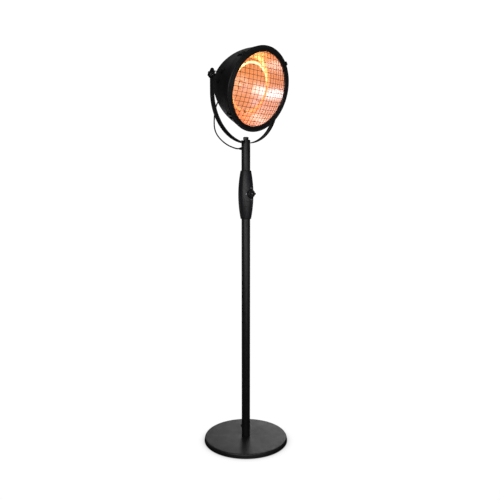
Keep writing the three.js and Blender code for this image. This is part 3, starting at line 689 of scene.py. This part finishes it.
def make_dial_marks():
    """Printed marks for the knob's positions, a dot, a bar and a double bar, on the housing's curve."""
    bm = bmesh.new()
    sunk, proud, columns = -0.0003, 0.00012, 13

    def patch(degrees, z, width, height, corner):
        rings = []
        for x in np.linspace(-width, width, columns):
            over = max(0.0, abs(x) - (width - corner))
            half = height - corner + math.sqrt(max(corner ** 2 - over ** 2, 1e-10))
            turn = degrees - math.degrees(x / housing_radius(z))
            section = ((-half, sunk), (half, sunk), (half, proud), (-half, proud))
            rings.append([bm.verts.new(on_housing(turn, z + y, lift)) for y, lift in section])
        joined_rings(bm, rings)

    reach, apart = 0.0255, 0.0016
    patch(0, KNOB_Z + reach, 0.0050, 0.0012, 0.0008)
    patch(0, KNOB_Z - reach + apart, 0.0036, 0.0008, 0.0006)
    patch(0, KNOB_Z - reach - apart, 0.0036, 0.0008, 0.0006)
    patch(41.7, KNOB_Z, 0.0022, 0.0030, 0.0020)
    finished(mesh_object("dial_marks", bm), PRINT, "stand")


def make_knob():
    bore, flutes, flute_depth = 0.0031, 30, 0.022

    def fluted(degrees, r, z):
        deep = 0.0165 < r < 0.0169 and 0.0400 < z < 0.0428
        return 1 - (flute_depth * (0.5 + 0.5 * math.cos(math.radians(flutes * degrees))) if deep else 0)

    body = turned("control_knob_body", [
        (bore, 0.0361), (0.0193, 0.0361, 0.0005), (0.0195, 0.0385, 0.0010), (0.0178, 0.0396, 0.0006),
        (0.0170, 0.0398, 0.0002), (0.01675, 0.0402), (0.01675, 0.0410), (0.0167, 0.0420), (0.0166, 0.0427),
        (0.0160, 0.0436, 0.0008), (0, 0.0436)], AT_KNOB, 240, wave=fluted)
    bar = bar_outline(-0.0158, 0.0158, 0.0041, 0.0038, 6)
    combined(body, mesh_object("tool", prism(bar, 0.0430, 0.0499, 0.0010, 4), AT_KNOB), "UNION")
    drill(body, bore, 0.030, 0.0442, AT_KNOB)
    finished(body, KNOB_PLASTIC, "dial", "control_knob")

    # A white line let into the bar shows which mark the knob points at.
    line = bar_outline(-0.0150, -0.0040, 0.0007, 0.0006, 3)
    pointer = mesh_object("knob_pointer", prism(line, 0.0494, 0.04998, 0.0002, 2), AT_KNOB)
    finished(pointer, PRINT, "dial")


# ---- neck and yoke --------
def make_neck():
    cable_z = CABLE_POINTS[0][2]
    tube = drilled_tube("neck_pole", NECK_BOTTOM, NECK_TOP, cable_z)
    # The notch that the yoke's strap lies in.
    wide, half = 0.03, STRAP_WIDTH / 2 + 0.0003
    notch = [(-wide, -half), (wide, -half), (wide, half), (-wide, half)]
    combined(tube, mesh_object("tool", prism(notch, STRAP_BOTTOM - 0.0005, NECK_TOP + 0.01)))
    finished(tube, POWDER, "stand", "neck_tube")

    seat = (0, -TUBE_RADIUS - 0.0002, middle_z("neck_screw"))
    screw("neck_front_screw", towards((0, -1, 0), seat), 0.0042, 0.0023, "stand", "neck_screw")
    gland("neck_cable_gland", towards((0, 1, 0), (0, TUBE_RADIUS + 0.0003, cable_z)), "stand", "neck_gland")


def make_yoke_strap():
    centre_z = STRAP_BOTTOM + STRAP_RADIUS
    middle = STRAP_RADIUS - STRAP_THICK / 2
    half = STRAP_WIDTH / 2
    end = STRAP_TOP - 0.00005
    rise = [end - half * (1 - math.cos(math.radians(a))) for a in range(6, 91, 7)]
    arm = rise + list(np.linspace(end - half, centre_z, 12))[1:]
    bend = [circle_point(middle, -2.5 * k) for k in range(1, 72)]
    path = [Vector((middle, z)) for z in arm]
    path += [Vector((p.x, centre_z + p.y)) for p in bend]
    path += [Vector((-middle, z)) for z in reversed(arm)]

    def half_width(share):
        z = path[round(share * (len(path) - 1))].y
        over = max(0.0, z - (end - half))
        return math.sqrt(max(half * half - over * over, 1e-7))

    bm = strip(path, half_width, STRAP_THICK, lambda p, w: (p.x, w, p.y))
    strap = mesh_object("yoke_bar", bm)
    drill(strap, PIVOT_HOLE, -0.21, 0.21, towards((1, 0, 0), PIVOT))
    drill(strap, BOLT_HOLE, 1.39, 1.415, Matrix.Identity(4))
    finished(strap, POWDER, "stand", "yoke_strap")


def make_yoke_bolt():
    low, high = z_range("yoke_washer")
    washer = turned("yoke_flat_washer", ring_section(BOLT_HOLE, 0.0110, low, high), sides=64)
    finished(washer, BLACK_STEEL, "stand", "yoke_washer")

    bolt_top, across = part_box("yoke_bolt")[1].z, 0.022
    flange = turned("yoke_hex_bolt", [
        (0, 1.394), (0.0050, 1.394, 0.0008), (0.0050, high + 0.0003), (0.0095, high + 0.0003, 0.0004),
        (0.0095, NECK_TOP + 0.0005, 0.0008), (0, NECK_TOP + 0.0005)], sides=64)
    head = hex_tool(across, NECK_TOP, bolt_top)
    dome = turned("tool", [
        (0, NECK_TOP - 0.001), (0.014, NECK_TOP - 0.001), (0.014, bolt_top - 0.0024, 0.001),
        (across / 2 - 0.0010, bolt_top, 0.0012), (0, bolt_top)], sides=64)
    combined(head, dome, "INTERSECT")
    combined(flange, head, "UNION")
    finished(flange, BLACK_STEEL, "stand", "yoke_bolt")


# ---- head: shell, ring and guard --------
def shell_radius(depth):
    return SHELL_RADIUS - SHELL_DROP * (depth / SHELL_LENGTH) ** 2


def on_shell(degrees, depth):
    """The matrix that stands something drawn along +Z on the shell."""
    slope = math.atan(2 * SHELL_DROP * depth / SHELL_LENGTH ** 2)
    normal = circle_point(math.cos(slope), degrees, -math.sin(slope))
    return towards(normal, circle_point(shell_radius(depth), degrees, -depth))


def make_shell():
    wall, opening, lip = 0.0016, 0.044, 0.162
    depths = np.linspace(SHELL_BACK, SHELL_FRONT, 44)
    outer = [(shell_radius(s), -s) for s in depths]
    outer[0] = (*outer[0], 0.003)
    outer[-1] = (*outer[-1], 0.0012)
    inner = [(shell_radius(s) - wall, -s) for s in np.linspace(SHELL_FRONT + wall, SHELL_BACK - 0.001, 44)]
    back = -SHELL_BACK - wall
    shell = turned("bell_shell", [
        (opening, back, 0.0004), (shell_radius(SHELL_BACK) - 0.003, back, 0.003), *outer,
        (lip, -SHELL_FRONT, 0.0004), (lip, -SHELL_FRONT - wall, 0.0004), *inner, (opening, -SHELL_BACK)],
        HEAD, 160)
    drill(shell, GLAND_HOLE, -0.02, 0.012, HEAD @ on_shell(GLAND_DEG, GLAND_DEPTH))
    finished(shell, POWDER, "lamp_head", "head_shell")

    cover_radius, foot, crown, sheet = 0.048, -0.2522, -0.2656, 0.0016
    cover = turned("shell_rear_cover", [
        (0, crown), (0.0170, crown + 0.0003, 0.004), (0.0185, crown + 0.0015, 0.001),
        (0.0200, crown + 0.0008, 0.001), (0.0300, crown + 0.0018, 0.010), (0.0470, crown + 0.0070, 0.005),
        (cover_radius, foot, 0.0005), (0.041, foot, 0.0003), (0.041, foot - sheet, 0.0003),
        (0.0462, foot - sheet, 0.0003), (0.0456, crown + 0.0084, 0.004), (0.0296, crown + 0.0036, 0.008),
        (0, crown + sheet)], HEAD, 128)
    finished(cover, POWDER, "lamp_head", "rear_cover")


def make_front_ring():
    sheet, flat_end, lip = 0.0016, 0.1715, 0.0030
    ring = turned("rolled_front_ring", [
        (0.1730, -0.028, 0.0004), (0.1745, -0.028, 0.0007), (0.1768, -0.0140, 0.010),
        (RIM_RADIUS, -0.0035, 0.0030), (0.1806, -0.0008, 0.0020), (0.1784, 0, 0.0014), (flat_end, 0, 0.0070),
        (RIM_OPENING, lip, 0.0006), (RIM_OPENING, lip - sheet, 0.0006), (flat_end, -sheet, 0.0070),
        (0.1774, -sheet, 0.0010), (0.1790, -0.0045, 0.0015), (0.1752, -0.0144, 0.010)], HEAD, 192)
    finished(ring, POWDER, "lamp_head", "front_ring")


GUARD_PITCH, GUARD_WIRE, GUARD_RADIUS = 0.019, 0.0009, 0.165
GUARD_DOME, GUARD_BULGE, GUARD_SOFTNESS = 0.160, 0.042, 0.0016


def guard_height(x, y):
    """How far the mesh stands out in front of its frame, running out softly at the frame."""
    rise = 1 - (x * x + y * y) / GUARD_DOME ** 2
    return GUARD_BULGE * (rise + math.sqrt(rise * rise + GUARD_SOFTNESS)) / 2


def make_guard():
    """A domed mesh: level wires in front and upright wires behind, touching, with their ends in a frame."""
    bm = bmesh.new()
    level = -0.0032
    upright = level - 2 * GUARD_WIRE + 0.0001
    count = int(GUARD_RADIUS // GUARD_PITCH)
    for i in range(-count, count + 1):
        at = i * GUARD_PITCH
        half = math.sqrt(GUARD_RADIUS ** 2 - at * at)
        along = [(u, guard_height(u, at)) for u in np.linspace(-half, half, 37)]
        tube_along([Vector((u, at, level + h)) for u, h in along], GUARD_WIRE, 10, bm)
        tube_along([Vector((at, u, upright + h)) for u, h in along], GUARD_WIRE, 10, bm)
    lathe(rounded(ring_section(0.1622, 0.1678, -0.0061, -0.0021, 0.0006, 0.0006)), 160, bm)
    finished(mesh_object("guard_mesh", bm, HEAD), GUARD, "lamp_head", "grille")


def make_clips():
    """Spring clips that hook over the ring and lie on the shell, each held by a rivet."""
    path = rounded([
        (0.1700, -0.0466, 0), (0.1745, -0.0345, 0.004), (0.1778, -0.0305, 0.003), (0.1836, -0.0130, 0.004),
        (0.1872, -0.0085, 0.003), (0.1872, -0.0012, 0.0022), (0.1848, 0.0014, 0.0020), (0.1755, 0.0014, 0)],
        closed=False)
    rivet_profile = [(0, 0.1745), (0.0026, 0.1745, 0.0003), (0.0026, 0.1760, 0.0008), (0, 0.1768)]

    def half_width(share):
        neck = 0.0012 * math.sin(math.pi * min(1.0, share * 1.6)) ** 2
        return 0.0068 - neck

    for i, degrees in enumerate((45, 135, 225, 315)):
        bm = strip(path, half_width, 0.0016, lambda p, w: (p.x, w, p.y), 0.0005)
        rivet = lathe(rounded(rivet_profile), 24)
        rivet.transform(Matrix.Translation((0, 0, -0.041)) @ Matrix.Rotation(math.pi / 2, 4, "Y"))
        mesh = bpy.data.meshes.new("rivet")
        rivet.to_mesh(mesh)
        rivet.free()
        bm.from_mesh(mesh)
        bpy.data.meshes.remove(mesh)
        clip = mesh_object(f"rim_clip_{i + 1}", bm, HEAD @ about_z(degrees))
        finished(clip, BLACK_STEEL, "lamp_head", f"ring_clip_{i + 1}")


# ---- head: reflector and lamp --------
def reflector_depth(r):
    fall = (REFLECTOR_DEPTH - REFLECTOR_FRONT) * (r / REFLECTOR_RADIUS) ** REFLECTOR_POWER
    return REFLECTOR_DEPTH - fall


def make_reflector():
    sheet, hub_hole, lip = 0.0012, 0.0064, 0.170
    radii = np.linspace(hub_hole, REFLECTOR_RADIUS, 46)
    back = [(r, -reflector_depth(r) - sheet) for r in radii[:-1]]
    front = [(r, -reflector_depth(r)) for r in radii[::-1]]
    profile = [*back, (REFLECTOR_RADIUS + 0.0009, -0.0086), (lip, -0.0084, 0.0003), (lip, -0.0074, 0.0003),
               (REFLECTOR_RADIUS + 0.0010, -0.0074, 0.001), *front]
    bowl = turned("spun_reflector", profile, HEAD, 160)
    for side in SIDES.values():
        at = circle_point(LAMP_RADIUS, -90 + side * LAMP_GAP_DEG)
        drill(bowl, 0.0080, -0.125, -0.070, HEAD @ Matrix.Translation(at))
    finished(bowl, REFLECTOR_METAL, "lamp_head", "reflector")


def lamp_path(steps):
    bend = 4
    start, end = -90 + LAMP_GAP_DEG + bend, 270 - LAMP_GAP_DEG - bend
    turn = [circle_point(LAMP_RADIUS, start + (end - start) * k / 40, -LAMP_DEPTH) for k in range(41)]

    def leg(side):
        at = circle_point(LAMP_RADIUS, -90 + side * LAMP_GAP_DEG)
        return [Vector((at.x, at.y, -s)) for s in (LAMP_DEPTH + 0.008, LAMP_DEPTH + 0.018, LAMP_LEG_END)]

    return smooth_path([*reversed(leg(1)), *turn, *leg(-1)], steps)


def make_lamp():
    glass = mesh_object("quartz_ring", tube_along(lamp_path(4), LAMP_TUBE, 20), HEAD)
    finished(glass, QUARTZ, "lamp_head", "lamp_ring")

    # The heating coil: a fine wire wound along the middle of the tube, up to its straight ends.
    coil_radius, wire, pitch, per_turn, steps = 0.0030, 0.00045, 0.0022, 8, 12
    line = lamp_path(steps)[2 * steps:-2 * steps]
    total = path_length(line)
    turns = int(total / pitch)
    places = []
    walked, i = 0.0, 0
    reference = Vector((0, 0, 1))
    for k in range(turns * per_turn + 1):
        target = total * k / (turns * per_turn)
        while i < len(line) - 2 and walked + (line[i + 1] - line[i]).length < target:
            walked += (line[i + 1] - line[i]).length
            i += 1
        step = line[i + 1] - line[i]
        ahead = step.normalized()
        centre = line[i] + step * ((target - walked) / step.length)
        side = ahead.cross(reference)
        side = side.normalized() if side.length > 0.2 else circle_point(1, 0)
        up = side.cross(ahead)
        a = 2 * math.pi * k / per_turn
        places.append(centre + (side * math.cos(a) + up * math.sin(a)) * coil_radius)
    coil = mesh_object("heating_coil", tube_along(places, wire, 5), HEAD)
    finished(coil, COIL, "lamp_head")


def make_lamp_supports():
    """Posts that stand on the reflector, each with a wire hook that cradles the lamp."""
    hook_wire, post_radius, disc_radius = 0.0008, 0.0014, 0.0045
    foot = -reflector_depth(LAMP_RADIUS) + 0.0006
    top = -LAMP_DEPTH - LAMP_TUBE - hook_wire
    hook = [Vector((math.cos(a), 0, math.sin(a))) * (LAMP_TUBE + hook_wire)
            for a in np.linspace(math.radians(150), math.radians(390), 20)]
    profile = [
        (0, foot), (disc_radius, foot, 0.0003), (disc_radius, foot + 0.0012, 0.0005),
        (post_radius, foot + 0.0020, 0.0006), (post_radius, top), (0, top)]
    for i, degrees in enumerate((90, 210, 330)):
        at = circle_point(LAMP_RADIUS, degrees)
        post = turned(f"lamp_post_{i + 1}", profile, HEAD @ Matrix.Translation(at), 24)
        bm = tube_along(hook, hook_wire, 8)
        bm.transform(Matrix.Translation((at.x, at.y, -LAMP_DEPTH)) @ about_z(degrees))
        combined(post, mesh_object("tool", bm, HEAD), "UNION")
        finished(post, ZINC, "lamp_head", f"lamp_support_{i + 1}")


def make_hub():
    hub = turned("reflector_stud", [
        (0, -0.134), (0.0058, -0.134, 0.0006), (0.0058, -0.1168), (0.0220, -0.1168, 0.0004),
        (0.0218, -0.1130, 0.0010), (0.0150, -0.1106, 0.0015), (0.0105, -0.1104, 0.0005),
        (0.0100, -0.1086, 0.0010), (0, -0.1080)], HEAD, 72)
    finished(hub, POLISHED_STUD, "lamp_head", "reflector_hub")


# ---- tilt pivots --------
EAR_SHEET, EAR_PLATE, EAR_REACH, EAR_BEND, EAR_FOOT = 0.003, 0.1924, 0.0175, 0.008, 0.015
EAR_WIDTH, EAR_FOOT_WIDTH, EAR_SCREW = 0.017, 0.040, 0.025
EAR_DEPTH = -PIVOT_IN_HEAD.z
WASHER_RADIUS = 0.0085


def make_bracket(name, side):
    """A strip bent like a hat: a plate at the pivot, two legs, and wide feet that follow the shell."""
    y = PIVOT_IN_HEAD.y
    half = EAR_SHEET / 2
    radius = shell_radius(EAR_DEPTH) + 0.0002 + half
    reach = EAR_REACH - half
    foot_end = EAR_REACH + EAR_FOOT - 0.0005

    def on_circle(height):
        return math.sqrt(radius ** 2 - (y + height) ** 2)

    def foot(sign):
        heights = np.linspace(foot_end, reach + 0.0025, 22)
        return [(on_circle(sign * h), y + sign * h) for h in heights]

    plate = EAR_PLATE - half
    path = rounded([
        *foot(1), (on_circle(reach) + 0.0004, y + reach, 0.0022), (plate, y + reach, EAR_BEND - half),
        (plate, y - reach, EAR_BEND - half), (on_circle(-reach) + 0.0004, y - reach, 0.0022),
        *reversed(foot(-1))], closed=False, steps=6)

    def place(point, across):
        near = 1 - min(1.0, max(0.0, (point.x - radius) / 0.004))
        taper = shell_radius(EAR_DEPTH - across) - shell_radius(EAR_DEPTH)
        point = point + point.normalized() * near * taper
        return side * point.x, point.y, PIVOT_IN_HEAD.z + across

    def half_width(share):
        height = abs(path[round(share * (len(path) - 1))].y - y)
        corner = 0.005
        short = max(0.0, corner - (foot_end - height))
        wide = EAR_FOOT_WIDTH / 2 - corner + math.sqrt(max(corner ** 2 - short ** 2, 0))
        flare = min(1.0, max(0.0, (height - EAR_REACH) / 0.005))
        return EAR_WIDTH / 2 + (wide - EAR_WIDTH / 2) * flare * flare * (3 - 2 * flare)

    ear = mesh_object(f"pivot_ear_{name}", strip(path, half_width, EAR_SHEET, place, 0.0006), HEAD)
    at_pivot = HEAD @ towards((side, 0, 0), PIVOT_IN_HEAD)
    drill(ear, PIVOT_HOLE, 0.170, 0.200, at_pivot)
    finished(ear, POWDER, "lamp_head", f"head_bracket_{name}")

    for place_name, sign in (("upper", 1), ("lower", -1)):
        height = y + sign * EAR_SCREW
        angle = math.degrees(math.asin(height / shell_radius(EAR_DEPTH)))
        degrees = angle if side > 0 else 180 - angle
        seat = HEAD @ on_shell(degrees, EAR_DEPTH) @ Matrix.Translation((0, 0, 0.0031))
        node = f"bracket_screw_{name}_{place_name}"
        screw(f"ear_screw_{name}_{place_name}", seat, 0.0042, 0.0022, "lamp_head", node)


def make_clamp(name, side):
    at_pivot = HEAD @ towards((side, 0, 0), PIVOT_IN_HEAD)
    bolt = turned(f"clamp_bolt_{name}", [
        (0, 0.1840), (0.0073, 0.1840, 0.0010), (0.0075, 0.1891, 0.0004), (0.0040, 0.1891),
        (0.0040, 0.2075, 0.0006), (0, 0.2075)], at_pivot, 48)
    combined(bolt, hex_tool(0.0060, 0.1835, 0.1865, at_pivot))
    finished(bolt, BLACK_STEEL, "lamp_head", f"pivot_bolt_{name}")

    disc = ring_section(PIVOT_HOLE, WASHER_RADIUS, 0.1928, 0.1946)
    spacer = turned(f"friction_disc_{name}", disc, at_pivot, 56)
    finished(spacer, HOUSING_PLASTIC, "lamp_head", f"pivot_spacer_{name}")

    disc = ring_section(PIVOT_HOLE, WASHER_RADIUS, 0.1993, 0.2008, outer=0.0003)
    washer = turned(f"clamp_washer_{name}", disc, towards((side, 0, 0), PIVOT), 56)
    finished(washer, ZINC, "stand", f"pivot_washer_{name}")

    lobes, lobe_depth = 6, 0.13

    def lobed(degrees, r, z):
        share = min(1.0, max(0.0, (r - 0.0094) / 0.0035)) if 0.2030 < z < 0.2116 else 0.0
        return 1 + share * lobe_depth * math.cos(math.radians(lobes * degrees))

    bore, grip = 0.0043, 0.0136
    knob = turned(f"hand_knob_{name}", [
        (bore, 0.2012, 0.0002), (0.0085, 0.2012, 0.0005), (0.0087, 0.2022, 0.0005),
        (0.0092, 0.2031, 0.0008), (0.0124, 0.2032, 0.0008), (grip, 0.2045, 0.0016), (grip, 0.2097, 0.0018),
        (0.0120, 0.2112, 0.0018), (0.0094, 0.2114, 0.0008), (0.0086, 0.2119, 0.0005),
        (0.0080, 0.2129, 0.0006), (0.0045, 0.2128, 0.0008), (0, 0.2126), (0, 0.2085), (bore, 0.2085)],
        at_pivot, 144, wave=lobed, steps=4)
    finished(knob, KNOB_PLASTIC, f"tilt_lock_{name}", f"clamp_knob_{name}")


# ---- the CAD nodes that stay --------
def finish_hidden_parts():
    for surface, nodes in (
            (CAST_IRON, ["base_weight"]),
            (ZINC, ["tube_foot", "base_washer", "base_bolt", "joiner_tube", "switch_shaft", "neck_plug",
                    "reflector_bracket"]),
            (WHITE_PLASTIC, ["rotary_switch", "terminal_block"]),
            (HOUSING_PLASTIC, ["tip_over_switch"]),
            (CERAMIC, ["lamp_holder_right", "lamp_holder_left", "head_terminal_block"])):
        for node in nodes:
            covered(frame["nodes"][node], surface)


# ---- stage --------
def ray_mix(tree, seen, unseen):
    """Mixes two shaders: one for what the camera sees, one for what lights the object."""
    path = tree.nodes.new("ShaderNodeLightPath")
    mix = tree.nodes.new("ShaderNodeMixShader")
    tree.links.new(path.outputs["Is Camera Ray"], mix.inputs["Fac"])
    tree.links.new(unseen, mix.inputs[1])
    tree.links.new(seen, mix.inputs[2])
    return mix.outputs["Shader"]


def make_floor():
    bm = bmesh.new()
    bmesh.ops.create_grid(bm, x_segments=2, y_segments=2, size=30)
    floor = mesh_object("floor", bm)
    material = bpy.data.materials.new("floor_white")
    material.use_nodes = True
    tree = material.node_tree
    tree.nodes.remove(tree.nodes["Principled BSDF"])
    # Painted contact shadow: the floor's glow is darkened where ambient occlusion finds the objects standing
    # on it.
    near = tree.nodes.new("ShaderNodeAmbientOcclusion")
    near.inputs["Distance"].default_value = 0.13
    near.samples = 16
    ramp = tree.nodes.new("ShaderNodeValToRGB")
    ramp.color_ramp.elements[0].color = (0.10, 0.10, 0.10, 1)
    ramp.color_ramp.elements[1].color = (1.02, 1.02, 1.02, 1)
    ramp.color_ramp.elements[1].position = 0.97
    tree.links.new(near.outputs["AO"], ramp.inputs["Fac"])
    glow = tree.nodes.new("ShaderNodeEmission")
    tree.links.new(ramp.outputs["Color"], glow.inputs["Color"])
    dim = tree.nodes.new("ShaderNodeBsdfDiffuse")
    dim.inputs["Color"].default_value = (0.06, 0.06, 0.06, 1)
    shader = ray_mix(tree, glow.outputs["Emission"], dim.outputs["BSDF"])
    tree.links.new(shader, tree.nodes["Material Output"].inputs["Surface"])
    floor.data.materials.append(material)


def make_world():
    world = bpy.data.worlds.new("studio")
    bpy.context.scene.world = world
    world.use_nodes = True
    tree = world.node_tree
    white = tree.nodes["Background"]
    white.inputs["Color"].default_value = (1, 1, 1, 1)
    white.inputs["Strength"].default_value = 1.05
    dim = tree.nodes.new("ShaderNodeBackground")
    dim.inputs["Color"].default_value = (0.96, 0.98, 1.0, 1)
    dim.inputs["Strength"].default_value = 0.035
    shader = ray_mix(tree, white.outputs["Background"], dim.outputs["Background"])
    tree.links.new(shader, tree.nodes["World Output"].inputs["Surface"])


def area_light(name, place, facing, width, height, power, colour=(1, 1, 1), shape="RECTANGLE"):
    data = bpy.data.lights.new(name, "AREA")
    data.shape = shape
    data.size, data.size_y = width, height
    data.energy = power
    data.color = colour
    light = placed(name, data)
    light.location = place
    light.rotation_euler = Vector(facing).to_track_quat("-Z", "Y").to_euler()
    return light


def softbox(name, azimuth, elevation, distance, width, height, power, target, colour=(1, 1, 1)):
    """A rectangular light that faces the target."""
    a, e = math.radians(azimuth), math.radians(elevation)
    away = Vector((math.sin(a) * math.cos(e), -math.cos(a) * math.cos(e), math.sin(e)))
    area_light(name, Vector(target) + away * distance, -away, width, height, power, colour)


def make_lights():
    middle = (0, 0, 1.36)
    mouth = (0, 0, 1.68)
    softbox("key", -77, 2, 2.5, 0.80, 0.95, 9, (0, 0, 1.45))
    softbox("soft", -50, 4, 2.6, 1.6, 1.1, 12, (0, 0, 1.42))
    softbox("low_soft", -20, 0, 2.4, 3.0, 0.8, 12, (0, 0, 0.95))
    softbox("overhead", -40, 55, 3.2, 2.0, 1.2, 4, middle)
    softbox("rear_top", 168, 52, 3.2, 2.4, 1.2, 2.5, middle)
    softbox("rear_low", 205, -12, 2.6, 1.6, 0.6, 1.5, middle)
    softbox("rear", 124, 4, 3.0, 1.6, 1.6, 9, middle)
    softbox("side", 80, 32, 3.2, 1.2, 1.4, 2.5, middle)
    softbox("backdrop", 136, 22, 2.6, 3.0, 0.7, 5.5, (0, 0, 0))

    # Panels that show in the reflector as a pale band across its middle and a pink cast towards its edge.
    pink, lilac = (1.0, 0.80, 0.90), (0.88, 0.82, 1.0)
    softbox("band", -14, -4, 2.6, 1.3, 0.36, 1.0, mouth, pink)
    softbox("far_band", 48, -17, 2.6, 1.9, 0.36, 1.8, mouth, lilac)
    softbox("front_high", -15, 24, 2.6, 1.6, 0.9, 2.6, mouth, lilac)
    softbox("left_high", -62, 38, 2.8, 1.0, 0.8, 0.8, mouth, lilac)

    # The lamp's glow, which fills the reflector.
    glow = area_light("lamp_glow", HEAD @ Vector((0, 0, -0.008)), HEAD.to_3x3() @ Vector((0, 0, -1)),
                      0.300, 0.300, 0.23, (1.0, 0.36, 0.14), "DISK")
    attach(glow, "lamp_head")


make_base()
make_pole()
make_housing()
make_dial_marks()
make_knob()
make_neck()
make_yoke_strap()
make_yoke_bolt()
make_shell()
make_front_ring()
make_guard()
make_clips()
make_reflector()
make_lamp()
make_lamp_supports()
make_hub()
gland("head_cable_gland", HEAD @ on_shell(GLAND_DEG, GLAND_DEPTH) @ Matrix.Translation((0, 0, 0.0003)),
      "lamp_head", "head_gland")
for side_name, side_sign in SIDES.items():
    make_bracket(side_name, side_sign)
    make_clamp(side_name, side_sign)
finish_hidden_parts()
make_floor()
make_world()
make_lights()

scene = bpy.context.scene
scene.view_settings.view_transform = "Standard"
